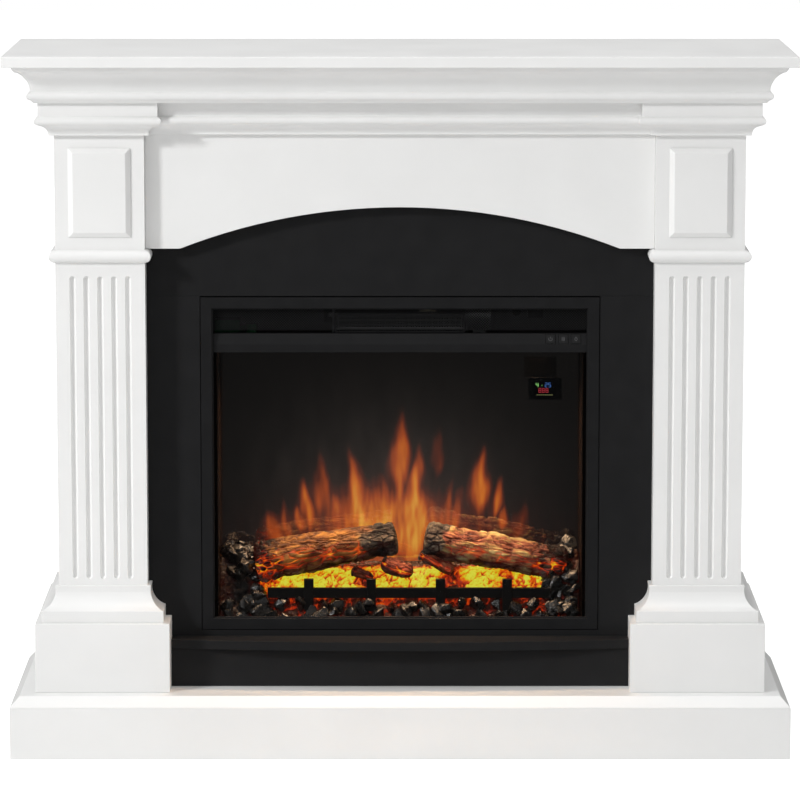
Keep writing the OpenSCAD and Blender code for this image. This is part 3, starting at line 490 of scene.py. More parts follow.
# %% Helpers for sculpted nets
def speckle(points, size_mm, seed, octaves=1):
    """Smooth noise from about -1 to 1 at each point in mm, with blobs size_mm across, per axis."""
    scaled = points / np.array(size_mm) + seed * np.array([7.3, 3.1, 5.7])
    if octaves == 1:
        return np.array([noise.noise(p) for p in scaled.tolist()])
    return np.array([noise.fractal(p, 0.8, 2.0, octaves) for p in scaled.tolist()])


def cells(points, size_mm, seed):
    """For each point: how far it is inside its cell, 0 at a joint, and a random number of the cell."""
    scaled = points / np.array(size_mm) + seed * np.array([2.9, 6.1, 4.3])
    found = [noise.voronoi(p) for p in scaled.tolist()]
    inside = np.array([f[0][1] - f[0][0] for f in found])
    dice = np.array([math.sin(f[1][0].dot((12.9, 78.2, 37.7))) * 43758.5 % 1 for f in found])
    return inside, dice


def ease(x, low, high):
    """0 below low, 1 above high, and a smooth step between them."""
    t = np.clip((x - low) / (high - low), 0, 1)
    return t * t * (3 - 2 * t)


print("ease from 0 to 1:", [round(float(ease(x, 0, 1)), 2) for x in (0.0, 0.25, 0.5, 0.75, 1.0)])


# %% A net of points becomes a piece
def net(name, points, material, node, replaced=True, ring=False, **attributes):
    """A piece from rows and columns of points in mm, with one number per point for each attribute.
    A ring closes each row on itself and both ends on a point."""
    rows, columns = points.shape[:2]
    index = np.arange(rows * columns).reshape(rows, columns)
    if ring:
        index = np.hstack([index, index[:, :1]])
    faces = np.stack([index[:-1, :-1], index[:-1, 1:], index[1:, 1:], index[1:, :-1]], -1)
    mesh = bpy.data.meshes.new(name)
    mesh.from_pydata((points.reshape(-1, 3) * MM).tolist(), [], faces.reshape(-1, 4).tolist())
    for label, values in attributes.items():
        mesh.attributes.new(label, "FLOAT", "POINT").data.foreach_set(
            "value", np.asarray(values, np.float32).ravel())
    if ring:
        shape = bmesh.new()
        shape.from_mesh(mesh)
        bmesh.ops.remove_doubles(shape, verts=shape.verts, dist=0.001 * MM)
        bmesh.ops.recalc_face_normals(shape, faces=shape.faces)
        shape.to_mesh(mesh)
        shape.free()
    mesh.shade_smooth()
    piece = set_out(name, mesh, material)
    if replaced:
        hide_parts(node)
    print(name, "faces:", len(mesh.polygons))
    return piece


def box_mm(node):
    """Both corners of a CAD node's box, in mm."""
    return [corner * PER_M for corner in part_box(node)]


bed_low, bed_high = box_mm("ember_bed")
print("fire bed, mm:", [round(side) for side in bed_high - bed_low])

# %% [markdown]
# ### Log paint
# Three painted looks share one shader: split wood in ochre and brown, grey bark, and soot. The
# soot colours also paint shade on the undersides of the logs. The attributes say which is where.
# Separate materials for each would show a hard seam. Light from inside the hollow casting leaves
# through the cracks, so the glow is an emission that runs from dull red to yellow.

# %% Log paint
EMBER_COLOURS = ((0.0, "000000"), (0.2, "3A0A02"), (0.42, "B82A06"), (0.62, "F4660C"), (0.74, "F2A816"),
                 (0.86, "E8D422"), (1.0, "EEEA44"))
BARK_COLOURS = ((0.1, "14110F"), (0.5, "4A4038"), (0.9, "8A7A66"))
# These colours paint soot, and also painted shade under the logs.
SOOT_AND_SHADE_COLOURS = ((0.2, "070605"), (0.6, "1E1A17"), (0.95, "57504A"))


def log_paint(name, *wood_colours):
    """Painted resin whose attributes mix wood with bark, with soot and with painted shade, and say where it
    glows.
    """
    made, tree, shader, place = finish(name, "806040", 0.6, specular=0.3)
    tone, bark, char, glow = [add(tree, "ShaderNodeAttribute", attribute_name=label).outputs["Fac"]
                              for label in ("tone", "bark", "char", "glow")]
    wood_paint, bark_paint, soot_and_shade_paint = [
        add(tree, "ShaderNodeValToRGB", {"Fac": tone}, stops).outputs["Color"]
        for stops in (wood_colours, BARK_COLOURS, SOOT_AND_SHADE_COLOURS)]
    barked = add(tree, "ShaderNodeMix", {0: bark, 6: wood_paint, 7: bark_paint}, data_type="RGBA")
    # The char attribute carries soot and painted shade on the undersides; both take the soot colours.
    sooted_and_shaded = add(tree, "ShaderNodeMix", {0: char, 6: barked.outputs[2], 7: soot_and_shade_paint}, data_type="RGBA")
    brush_marks = add(tree, "ShaderNodeTexNoise", {
        "Vector": place, "Scale": PER_M / 1.1, "Detail": 3.0}).outputs["Fac"]
    fit(tree, shader, {
        "Base Color": sooted_and_shaded.outputs[2],
        "Roughness": add(tree, "ShaderNodeMapRange", {
            "Value": tone, "To Min": 0.42, "To Max": 0.75}).outputs[0],
        "Normal": add(tree, "ShaderNodeBump", {
            "Height": brush_marks, "Distance": 0.25 * MM, "Strength": 1.0}).outputs[0],
        "Emission Color": add(tree, "ShaderNodeValToRGB", {"Fac": glow}, EMBER_COLOURS).outputs["Color"],
        "Emission Strength": 1.15})
    return made


# Cast resin dry-brushed in warm brown: reads as a log that is half burnt.
brown_log = log_paint("painted_resin_brown_log", (0.0, "24120A"), (0.3, "5E3618"), (0.55, "8E5C28"),
                      (0.8, "B8843C"), (1.0, "D8AE64"))
# The same with pink and straw tones: reads as freshly split heartwood.
pale_log = log_paint("painted_resin_pale_log", (0.0, "2C160E"), (0.3, "7E3E2A"), (0.48, "A86A4C"),
                     (0.7, "B49A5E"), (1.0, "D8C88C"))
# The same in brick red: reads as a stick that has begun to glow.
red_stick = log_paint("painted_resin_red_stick", (0.0, "2A0E08"), (0.4, "7A3320"), (0.7, "A8593A"),
                      (1.0, "C89A70"))
print("log paints:", brown_log.name, pale_log.name, red_stick.name)

# %% [markdown]
# ### Logs
# The real logs are split lengths with bark on one part and soot on the end. A cylinder with a bump
# map would keep a round outline. So a log is a tapered tube of rings round a straight axis, cut by
# three flats, with true relief. Noise drawn out along the axis gives grain and cracks, and cells
# give bark plates.

# %% The body of a split log
# Each flat: the direction that it faces round the log, and the share of the radius that is left.
LOG_FLATS = ((58, 0.80), (-28, 0.86), (190, 0.9))
closing_rings = 14


def log_grid(length, widest, ring_step):
    """On one grid: the share along a log, the angle round it, and how far each ring has opened."""
    opening = np.linspace(0, 1, closing_rings, endpoint=False)
    body = np.linspace(0, 1, int(length / ring_step))
    share = np.concatenate([opening * 0, body, opening * 0 + 1])
    opened = np.concatenate([opening, body * 0 + 1, opening[::-1]])
    angle = np.linspace(0, 2 * math.pi, int(2 * math.pi * widest / ring_step), endpoint=False)
    share, angle = np.meshgrid(share, angle, indexing="ij")
    return share, angle, opened[:, None]


def split_radius(share, angle, radii):
    """The radius in mm of a tapered log with its flats cut."""
    tapered = radii[0] + (radii[1] - radii[0]) * share
    radius = tapered
    for facing, room in LOG_FLATS:
        lean = np.maximum(np.cos(angle - math.radians(facing)), 0.05)
        radius = np.minimum(radius, tapered * room / lean)
    return radius


trial_length, trial_radii = 200, (30, 25)
share, angle, opened = log_grid(trial_length, max(trial_radii), 4)
radius = split_radius(share, angle, trial_radii)
print("trial log, rings and columns:", share.shape, "thinnest, mm:", round(float(radius.min()), 1))


# %% Bark, char and cracks
def log_marks(flat, share, seed, bark_from, char_to):
    """For each point of a log's grid, from 0 to 1: bark, char, grain lines, cracks, the gaps between
    plates and each plate's own number. wobble is the slow waviness that all of them share."""
    def field(values):
        return values.reshape(share.shape)

    wobble = field(speckle(flat, 34, seed, 3))
    reach = share if bark_from > 0 else 1 - share
    edge = abs(bark_from) if bark_from > 0 else 1 + bark_from
    bark = ease(reach + 0.10 * wobble, edge, edge + 0.07)
    char = 1 - ease(reach + 0.12 * field(speckle(flat, 11, seed + 1, 2)), char_to, char_to + 0.1)
    lines = np.clip(1 - 3.2 * abs(field(speckle(flat, (34, 6, 6), seed + 2))), 0, 1)
    cracks = np.clip(1 - 6.5 * abs(field(speckle(flat, (58, 11, 11), seed + 3, 2))), 0, 1) ** 1.5
    plate, dice = cells(flat, (15, 10, 10), seed + 4)
    gap = np.clip(1 - 4.5 * field(plate), 0, 1)
    bent = flat + 7 * speckle(flat, 22, seed + 9, 2)[:, None]
    seams = np.clip(1 - 7 * field(cells(bent, (34, 15, 15), seed + 10)[0]), 0, 1)
    cracks = np.maximum(cracks, 0.7 * seams)
    return wobble, bark, char, lines, cracks, gap, field(dice)


flat = np.stack([share * trial_length, radius * np.cos(angle), radius * np.sin(angle)], -1).reshape(-1, 3)
cracks = log_marks(flat, share, 1, 0.5, 0.1)[4]
print("share of the trial log in cracks:", round(float((cracks > 0.5).mean()), 2))


# %% Sculpt a log
def log_piece(name, start, end, radii, seed, paint, node, bark_from, char_to, glow, ring_step=0.9):
    """A split log from start to end, in mm. Bark begins at the share bark_from (below 0: it ends at
    -bark_from), and char covers char_to of the length at the other end. Painted shade darkens the underside."""
    start, end = np.array(start, float), np.array(end, float)
    length = np.linalg.norm(end - start)
    axis = (end - start) / length
    side = np.cross(axis, [0, 0, 1])
    side *= -np.sign(side[1]) / np.linalg.norm(side)
    up = np.cross(side, axis)
    up *= np.sign(up[2])
    share, angle, opened = log_grid(length, max(radii), ring_step)
    radius = split_radius(share, angle, radii)
    flat = np.stack([share * length, radius * np.cos(angle), radius * np.sin(angle)], -1).reshape(-1, 3)
    wobble, bark, char, lines, cracks, gap, dice = log_marks(flat, share, seed, bark_from, char_to)

    def field(*noise_settings):
        return speckle(flat, *noise_settings).reshape(share.shape)

    # Relief: waves, shallow grain on clean wood, deep cracks, and plates where bark or char is.
    rough = np.clip(bark + char, 0, 1)
    relief = 3.4 * wobble - 0.7 * lines * (1 - rough) - 3.4 * cracks * (1 - 0.6 * bark)
    relief += rough * (2.4 * dice - 1.0 - 2.8 * gap) + 0.5 * field(3.5, seed + 5)
    rim = 1 - 0.16 * np.exp(-np.minimum(share, 1 - share) * length / 3.5)
    radius = (radius * rim + relief) * opened
    dome = (1 - opened ** 2) * 3.0 * np.where(share < 0.5, -1, 1)
    end_chips = speckle(flat * [0.2, 1, 1], 5, seed + 6, 2).reshape(share.shape)
    along = share * length + dome + opened * (opened < 1) * end_chips * 1.5
    out = np.cos(angle)[..., None] * side + np.sin(angle)[..., None] * up
    points = start + along[..., None] * axis + radius[..., None] * out

    # Paint: lighter wood between darker lines, and a glow in the cracks that fades upwards. The soot
    # colours cover the charred end, darken cracks that do not glow, and paint shade on the undersides.
    tone = 0.58 + 0.36 * field((22, 9, 9), seed + 7, 3) + 0.25 * wobble
    tone = np.clip(tone - 0.25 * lines * (1 - rough) - 0.3 * gap * rough, 0, 1)
    lower = 1 - ease(np.sin(angle - math.radians(10)), -0.3, 0.75)
    hot = cracks * (0.35 + 0.65 * lower) * (1 - 0.85 * bark) + 1.1 * gap * char * (0.3 + 0.7 * lower)
    hot += 0.24 * lower * ease(field(26, seed + 8, 2), -0.25, 0.5) * (1 - bark) * (1 - char)
    hot = np.clip(hot * glow * (0.75 + 0.5 * wobble), 0, 1) * (opened > 0.5)
    # Painted shade: the undersides take the soot colours, and their glow is dimmed.
    shaded_underside = 1 - ease(np.sin(angle), -0.85, -0.25)
    hot = hot * (1 - 0.75 * shaded_underside)
    soot_and_painted_shade = np.clip(char + 0.85 * cracks * (1 - hot) + 0.7 * shaded_underside, 0, 1)
    net(name, points, paint, node, ring=True, tone=tone, bark=bark, char=soot_and_painted_shade, glow=hot)


left_low, left_high = box_mm("log_left")
left_radii = (31, 25)
log_piece("split_log_left",
          (left_low.x - 1, left_high.y - left_radii[0], left_low.z + left_radii[0]),
          (left_high.x + 6, left_low.y + left_radii[0] + 3, left_high.z - left_radii[1]),
          left_radii, 3, brown_log, "log_left", bark_from=0.76, char_to=0.09, glow=0.85)

# %% The other log
right_low, right_high = box_mm("log_right")
right_radii = (26, 25)
log_piece("split_log_right",
          (right_low.x - 12, right_low.y + right_radii[0] + 2, right_high.z - right_radii[0]),
          (right_high.x + 8, right_high.y - right_radii[1], right_low.z + right_radii[1]),
          right_radii, 11, pale_log, "log_right", bark_from=-0.16, char_to=0.14, glow=0.62)

# %% [markdown]
# ### Ember bed
# The bed is one moulded shell. Where it is hottest, right behind the grate, the translucent resin
# shows yellow lumps with red veins. Towards the ends it is dark, and only the joints glow. Loose
# lumps would need thousands of pieces. A net over one line, from the foot to the back, gives the
# same lumps in a single skin, and a Solidify modifier gives the skin its wall.

# %% The line of the bed, from foot to back
bed_depth = bed_high.y - bed_low.y
net_step = 1.5
# Corners of the line: the share of the depth, and the height in mm.
BED_LINE = ((0.04, 1), (0.08, 8), (0.2, 22), (0.27, 46), (0.46, 70), (1.0, 74))


def bed_line():
    """Points down the middle of the bed, from its front foot to its back edge, as (y, z)."""
    corners = [(bed_low.y + 1 + share * (bed_depth - 2), bed_low.z + height) for share, height in BED_LINE]
    found = []
    for (y0, z0), (y1, z1) in zip(corners, corners[1:]):
        count = max(2, int(math.hypot(y1 - y0, z1 - z0) / net_step))
        found += [(y0 + (y1 - y0) * i / count, z0 + (z1 - z0) * i / count) for i in range(count)]
    return np.array(found + [corners[-1]])


line = bed_line()
print("points down the bed:", len(line))

# %% Sculpt the ember bed
bed_columns = np.arange(bed_low.x + 1, bed_high.x - 1, net_step)
bed_x, bed_y = np.meshgrid(bed_columns, line[:, 0])
bed_z = np.meshgrid(bed_columns, line[:, 1])[1]
share = (bed_y - bed_low.y) / bed_depth
mound = np.maximum(1 - ease(bed_x - bed_low.x, 34, 66), 1 - ease(bed_high.x - bed_x, 22, 50))
bed_z = bed_z + mound * ease(share, 0.02, 0.4) * 18
flat = np.stack([bed_x, bed_y, bed_z], -1).reshape(-1, 3)
warp = speckle(flat, 12, 8, 2)[:, None]
inside, dice = (values.reshape(bed_x.shape) for values in cells(flat + 5 * warp, (23, 13, 11), 5))
small, small_dice = (values.reshape(bed_x.shape) for values in cells(flat + 3 * warp, (9, 6, 5), 9))
rough = speckle(flat, 4, 2, 2).reshape(bed_x.shape)
lump = 3.0 * ease(inside, 0.0, 0.25) + 1.0 * ease(small, 0, 0.2) + 1.4 * rough + 3 * dice - 4
loose = ease(share, 0.0, 0.1) * (1 - ease(share, 0.93, 1.0))
bed_z = bed_z + lump * loose
bed_y = bed_y + 1.6 * rough * loose
print("lumps, mm:", round(lump.min(), 1), "to", round(lump.max(), 1))

# %% Heat the bed
# The lamps under the bed stand in five groups, each with a hot patch over it: (x, half width) in mm.
HOT_PATCHES = ((-168, 34), (-98, 38), (8, 56), (124, 36), (190, 28))
patches = sum(np.exp(-((bed_x - centre) / reach) ** 4) for centre, reach in HOT_PATCHES)
band = ease(bed_z - bed_low.z, 26, 50) * (1 - ease(share, 0.5, 0.95))
hot = 0.36 + 0.72 * band * np.clip(patches, 0, 1)
hot *= 1 - 0.7 * mound
hot *= 1 - 0.35 * ease(share, 0.55, 0.85)
hot = hot + 0.22 * speckle(flat * [1, 0.3, 0.3], 55, 4, 2).reshape(bed_x.shape)
joint = 1 - ease(inside, 0.0, 0.15)
crack = 1 - ease(small, 0.0, 0.14)
bright = hot * (1.02 - 0.5 * joint - 0.34 * crack) + 0.22 * (dice - 0.5) + 0.12 * rough
dull = hot * (0.25 + 1.1 * joint * (0.5 + 0.5 * small_dice) + 0.35 * crack)
bed_glow = np.clip(dull + (bright - dull) * ease(hot, 0.5, 0.68), 0, 1)
print("share of the bed that glows yellow:", round(float((bed_glow > 0.74).mean()), 2))

# %% Paint the bed
# Translucent orange resin under brown and black paint: bright lumps seem lit from inside.
embers, tree, shader, place = finish("painted_resin_embers", "2A1A12", 0.5, specular=0.35)
tone, glow = [add(tree, "ShaderNodeAttribute", attribute_name=label).outputs["Fac"]
              for label in ("tone", "glow")]
ash = add(tree, "ShaderNodeTexNoise", {"Vector": place, "Scale": PER_M / 1.2, "Detail": 3.0}).outputs["Fac"]
fit(tree, shader, {
    "Base Color": add(tree, "ShaderNodeValToRGB", {"Fac": tone},
                      [(0.0, "0B0908"), (0.5, "2C1E17"), (1.0, "7A5A38")]).outputs["Color"],
    "Normal": add(tree, "ShaderNodeBump", {
        "Height": ash, "Distance": 0.3 * MM, "Strength": 1.0}).outputs[0],
    "Emission Color": add(tree, "ShaderNodeValToRGB", {"Fac": glow}, EMBER_COLOURS).outputs["Color"],
    "Emission Strength": 1.2})
bed = net("moulded_ember_bed", np.stack([bed_x, bed_y, bed_z], -1), embers, "ember_bed",
          tone=np.clip(0.45 + 0.5 * rough - 0.4 * joint, 0, 1), glow=bed_glow)
shell = bed.modifiers.new("shell", "SOLIDIFY")
shell.thickness = 2 * MM
shell.offset = -1

# %% [markdown]
# ### Kindling
# Three short split sticks lean between the logs. They could be copies of a log made small, but
# bark and cracks would shrink with them. So the log sculptor runs again with smaller radii and a
# finer ring step, and its noise keeps its true size.

# %% Place the kindling
stick_low, stick_high = box_mm("kindling")
stick_y = (stick_low.y + stick_high.y) / 2
# Each stick: both ends as (x, y, z) from the middle of the foot, both radii, and its seed.
STICKS = (((-24, 0, 32), (16, -4, 17), (12, 11), 21),
          ((32, 2, 44), (74, -3, 20), (11, 10), 33),
          ((-68, 3, 19), (-42, -2, 10), (9, 8), 45))
for number, (start, end, radii, seed) in enumerate(STICKS):
    ends = [(x, stick_y + y, stick_low.z + z) for x, y, z in (start, end)]
    log_piece(f"split_stick_{number + 1}", *ends, radii, seed, red_stick, "kindling",
              bark_from=2.0, char_to=0.04, glow=0.9, ring_step=0.7)

# %% [markdown]
# ### Loose coals
# A coal is a lump with a few flat breaks. One shape repeated would be seen at once, and a hundred
# sculpted ones would be heavy. So seven simple lumps are made, and Geometry Nodes set one of them,
# turned and scaled at random, on each point of a scatter that heaps up towards the ends.

# %% Break seven coals
def coal(seed, corners=15):
    """A unit lump: the hull round a few corners of a squashed ball, with its arrises just broken."""
    dice = random.Random(seed)
    shape = bmesh.new()
    stretch = Vector((dice.uniform(0.9, 1.15), dice.uniform(0.7, 0.9), dice.uniform(0.6, 0.8)))
    for _ in range(corners):
        way = Vector((dice.gauss(0, 1), dice.gauss(0, 1), dice.gauss(0, 1))).normalized()
        shape.verts.new(way * stretch * dice.uniform(0.82, 1.0))
    hull = bmesh.ops.convex_hull(shape, input=shape.verts)
    bmesh.ops.delete(shape, geom=hull["geom_interior"], context="VERTS")
    bmesh.ops.dissolve_limit(shape, angle_limit=math.radians(12), verts=shape.verts, edges=shape.edges)
    bmesh.ops.bevel(shape, geom=shape.edges, offset=0.05, segments=1, affect="EDGES")
    bmesh.ops.triangulate(shape, faces=shape.faces)
    bmesh.ops.recalc_face_normals(shape, faces=shape.faces)
    mesh = bpy.data.meshes.new(f"coal_{seed}")
    shape.to_mesh(mesh)
    shape.free()
    return mesh


coal_kinds = bpy.data.collections.new("coal_kinds")
for seed in range(7):
    coal_kinds.objects.link(bpy.data.objects.new(f"coal_kind_{seed}", coal(seed)))

# %% Coal paint
# Black resin, glossy as broken anthracite: small facets flash, and dull ones show grey.
coal_paint, tree, shader, place = finish("glossy_black_resin_coal", "17130F", 0.25, specular=0.8)
patch = add(tree, "ShaderNodeTexNoise", {"Vector": place, "Scale": PER_M / 9, "Detail": 3.0}).outputs["Fac"]
grit = add(tree, "ShaderNodeTexNoise", {"Vector": place, "Scale": PER_M / 2.2, "Detail": 4.0}).outputs["Fac"]
fit(tree, shader, {
    "Base Color": add(tree, "ShaderNodeValToRGB", {"Fac": patch},
                      [(0.35, "0D0C0B"), (0.55, "1C1A18"), (0.78, "35312D")]).outputs["Color"],
    "Roughness": add(tree, "ShaderNodeMapRange", {
        "Value": patch, "To Min": 0.14, "To Max": 0.42}).outputs[0],
    "Normal": add(tree, "ShaderNodeBump", {
        "Height": grit, "Distance": 0.5 * MM, "Strength": 1.0}).outputs[0]})
print("coal paint nodes:", len(tree.nodes))

# %% Choose where the coals lie
glass_back = box_mm("front_glass")[1].y
clear = 13
foot_rows = 3


def bed_height(x, y):
    """Height of the sculpted bed under a point, leaving out the rows of its foot."""
    column = int(np.clip((x - bed_columns[0]) / net_step, 0, len(bed_columns) - 1))
    past_foot = (np.arange(len(line)) < foot_rows) * 99
    return float(bed_z[int(np.argmin(abs(bed_y[:, column] - y) + past_foot)), column])


dice = random.Random(4)
coal_points = []
# Two rows along the glass: (distance behind it, height, pitch) in mm.
for row_y, row_z, pitch in ((clear, 11, 21), (clear + 5, 25, 25)):
    reach = bed_high.x - 16
    count = int(2 * reach / pitch)
    for i in range(count + 1):
        x = -reach + 2 * reach * i / count + dice.uniform(-6, 6)
        y = glass_back + row_y + dice.uniform(-2, 3)
        coal_points.append((x, y, bed_low.z + row_z + dice.uniform(-2, 5)))
# A heap at each end: (end of the bed, way inwards, width in mm, coals).
for heap_end, inwards, width, count in ((bed_low.x, 1, 62, 56), (bed_high.x, -1, 46, 46)):
    for _ in range(count):
        x = heap_end + inwards * dice.uniform(12, width)
        y = glass_back + dice.uniform(clear, bed_depth - 22)
        coal_points.append((x, y, bed_height(x, y) + dice.uniform(2, 9)))
print("coals:", len(coal_points))


# %% Scatter the coals
def scatter_tree():
    """Sets a random one of a collection's kinds on each point, turned and scaled at random."""
    tree, given = geometry_tree("scatter", {
        "Kinds": "NodeSocketCollection", "Smallest": "NodeSocketFloat", "Largest": "NodeSocketFloat",
        "Seed": "NodeSocketInt", "Finish": "NodeSocketMaterial"})
    kinds = add(tree, "GeometryNodeCollectionInfo", {
        "Collection": given["Kinds"], "Separate Children": True, "Reset Children": True})
    turn = add(tree, "FunctionNodeRandomValue", {
        0: (0, 0, 0), 1: (6.283, 6.283, 6.283), "Seed": given["Seed"]}, data_type="FLOAT_VECTOR")
    size = add(tree, "FunctionNodeRandomValue", {
        2: given["Smallest"], 3: given["Largest"], "Seed": given["Seed"]}, data_type="FLOAT")
    set_down = add(tree, "GeometryNodeInstanceOnPoints", {
        "Points": given["Geometry"], "Instance": kinds.outputs[0], "Pick Instance": True,
        "Rotation": turn.outputs[0], "Scale": size.outputs[1]})
    real = add(tree, "GeometryNodeRealizeInstances", {0: set_down.outputs[0]})
    painted = add(tree, "GeometryNodeSetMaterial", {"Geometry": real.outputs[0], "Material": given["Finish"]})
    add(tree, "NodeGroupOutput", {0: painted.outputs[0]})
    return tree


coal_places = bpy.data.meshes.new("loose_coals")
coal_places.from_pydata([[side * MM for side in point] for point in coal_points], [], [])
coals = grow("loose_coals", coal_places, scatter_tree(), {
    "Kinds": coal_kinds, "Smallest": 11 * MM, "Largest": 21 * MM, "Seed": 8, "Finish": coal_paint}, "coals")
# What would poke through the glass, the case or its floor is pressed flat against them.
skin = 0.6 * MM
heap = np.array([corner.co for corner in coals.data.vertices])
heap[:, 0] = np.clip(heap[:, 0], bed_low.x * MM + skin, bed_high.x * MM - skin)
heap[:, 1] = np.maximum(heap[:, 1], glass_back * MM + skin)
heap[:, 2] = np.maximum(heap[:, 2], bed_low.z * MM)
coals.data.vertices.foreach_set("co", heap.ravel())
coals.data.update()
print("coal heap faces:", len(coals.data.polygons))

# %% [markdown]
# ### Flames
# A turning rod of foil throws moving light on the back of the screen, and the eye reads it as
# flames. The screen itself is dark acrylic with a part-mirror skin, so it also shows the logs a
# second time, further back. Smoke and fire could be simulated, but the real thing is flat light on
# a sheet. So one net of points holds the flame picture as a single number per point, and a colour
# ramp turns that number into dull red, orange and yellow light.

# %% Draw the flames
screen_low, screen_high = box_mm("flame_screen")
# Each tongue: tip and foot as (across, up) from the middle of the lower edge in mm, width, strength.
TONGUES = (((4, 268), (1, 178), 22, 0.74), ((-78, 214), (-60, 112), 19, 0.92),
           ((-117, 206), (-116, 138), 21, 0.55), ((-144, 164), (-137, 112), 14, 0.75),
           ((-152, 120), (-148, 92), 10, 0.7), ((34, 220), (20, 116), 18, 0.84),
           ((56, 238), (53, 186), 14, 0.34), ((40, 152), (26, 74), 17, 0.9),
           ((122, 214), (118, 142), 20, 0.86), ((148, 166), (144, 120), 12, 0.72),
           ((155, 122), (152, 94), 9, 0.55), ((-98, 144), (-88, 92), 13, 0.45),
           ((92, 152), (84, 96), 14, 0.36), ((-192, 112), (-184, 72), 24, 0.5),
           ((-174, 134), (-166, 84), 13, 0.36), ((184, 130), (176, 84), 18, 0.3),
           ((-28, 172), (-22, 96), 20, 0.5), ((78, 168), (70, 96), 13, 0.34))
across = np.arange(screen_low.x, screen_high.x + 0.1, (screen_high.x - screen_low.x) / 264)
upward = np.arange(screen_low.z, screen_high.z + 0.1, (screen_high.z - screen_low.z) / 180)
screen_x, screen_z = np.meshgrid(across, upward)
u, v = screen_x - (screen_low.x + screen_high.x) / 2, screen_z - screen_low.z
flat = np.stack([u, v, 0 * u], -1).reshape(-1, 3)
drift = speckle(flat, (22, 60, 9), 6, 2).reshape(u.shape)
wisp = speckle(flat, (9, 46, 9), 7, 2).reshape(u.shape)
u = u + 7 * drift * ease(v, 30, 120)
picture = np.zeros_like(u)
for (tip_x, tip_z), (foot_x, foot_z), width, strength in TONGUES:
    rise = (v - foot_z) / (tip_z - foot_z)
    centre = foot_x + (tip_x - foot_x) * rise
    taper = np.where(rise > 0, np.clip(1 - rise, 0, 1) ** 0.7, np.exp(-(rise / 0.5) ** 2))
    body = np.exp(-((u - centre) / (0.68 * width * (0.25 + 0.75 * taper))) ** 2)
    picture = np.maximum(picture, strength * 0.92 * body * ease(taper, 0.0, 0.8))
root = np.exp(-((u + 20) / 74) ** 2 - ((v - 84) / 52) ** 2)
wide_root = np.exp(-((u + 5) / 165) ** 2 - ((v - 66) / 58) ** 2)
haze = np.exp(-((u + 5) / 180) ** 2 - ((v - 130) / 125) ** 2) * (1 + 0.25 * drift)
dark = (1 - picture) * (1 - 0.8 * root * (1 + 0.25 * wisp)) * (1 - 0.46 * wide_root * (1 + 0.4 * wisp))
picture = np.clip((1 - dark) * (0.95 + 0.22 * wisp), 0, 1)
print("share of the screen in flames:", round(float((picture > 0.3).mean()), 2))

# %% Light the screen
# Dark acrylic with a thin metal skin: a dim brown mirror, through which the flames shine.
part_mirror, tree, shader, _ = finish("part_mirror_acrylic", "756F6B", 0.03, metallic=1.0)
flicker_amount, haze_amount = [add(tree, "ShaderNodeAttribute", attribute_name=label).outputs["Fac"]
                               for label in ("flicker", "haze")]
flame_light = add(tree, "ShaderNodeValToRGB", {"Fac": flicker_amount}, [
    (0.0, "000000"), (0.12, "1C0A05"), (0.3, "5A1E08"), (0.55, "B44A10"), (0.78, "E87A1C"),
    (1.0, "FFB43C")]).outputs["Color"]
haze_light = add(tree, "ShaderNodeValToRGB", {"Fac": haze_amount},
                 [(0.0, "0A0A0A"), (1.0, "3A3532")]).outputs["Color"]
both = add(tree, "ShaderNodeMix", {0: 1.0, 6: flame_light, 7: haze_light},
           data_type="RGBA", blend_type="ADD").outputs[2]
fit(tree, shader, {"Emission Color": both, "Emission Strength": 1.0})
screen_front = np.stack([screen_x, np.full_like(screen_x, screen_low.y), screen_z], -1)
screen = net("flame_screen_lit", screen_front, part_mirror, "flame_screen", flicker=picture, haze=haze)
sheet = screen.modifiers.new("sheet", "SOLIDIFY")
sheet.thickness = (screen_high.y - screen_low.y) * MM
sheet.offset = -1

# %% [markdown]
# ## Foam seal, dust filter and membrane
# A strip of black foam closes the narrow gap between the insert's bezel and the boards, a pleated
# filter covers the air slots inside the case, and a rubber membrane closes the gland. The black strip
# in the bezel gap also stands in for the shade in that gap. Hiding the gaps with darker light would
# show from other sides. So the strips are real, thin pieces.

# %% Foam seal
def seal_ring(name, inner, outer, front, back, material):
    """A closed rectangular ring. inner and outer are (half width, low z, high z), in metres."""
    shape = bmesh.new()
    loops = []
    for half, z0, z1 in (inner, outer):
        for depth in (front, back):
            corners = ((-half, depth, z0), (half, depth, z0), (half, depth, z1), (-half, depth, z1))
            loops.append([shape.verts.new(corner) for corner in corners])
    in_front, in_back, out_front, out_back = loops
    for one, two in ((in_front, out_front), (out_front, out_back), (out_back, in_back), (in_back, in_front)):
        for i in range(4):
            shape.faces.new((one[i], one[(i + 1) % 4], two[(i + 1) % 4], two[i]))
    bmesh.ops.recalc_face_normals(shape, faces=shape.faces)
    mesh = bpy.data.meshes.new(name)
    shape.to_mesh(mesh)
    shape.free()
    return set_out(name, mesh, material)


# Open-cell polyurethane foam: a matt black that swallows the light.
black_foam = surface("black_pu_foam", "0C0C0D", 0.9, 1.0, 0.2, specular=0.1, tone=0.2)
bezel_low, bezel_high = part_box("front_bezel")
grip, squeeze = 0.3 * MM, 0.85 * MM
seal_setback = 4 * MM
board_foot = max(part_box("arch_backboard")[0].z, bezel_high.z + squeeze)
# Painted shade: besides sealing, this black ring darkens the gap between the bezel and the boards.
foam_seal_and_gap_shade = seal_ring("bezel_seal", (bezel_high.x - grip, bezel_low.z + grip, bezel_high.z - grip),
                 (bezel_high.x + squeeze, bezel_low.z - 0.5 * squeeze, board_foot),
                 bezel_low.y + seal_setback, bezel_high.y + seal_setback, black_foam)
print("seal faces:", len(foam_seal_and_gap_shade.data.polygons))

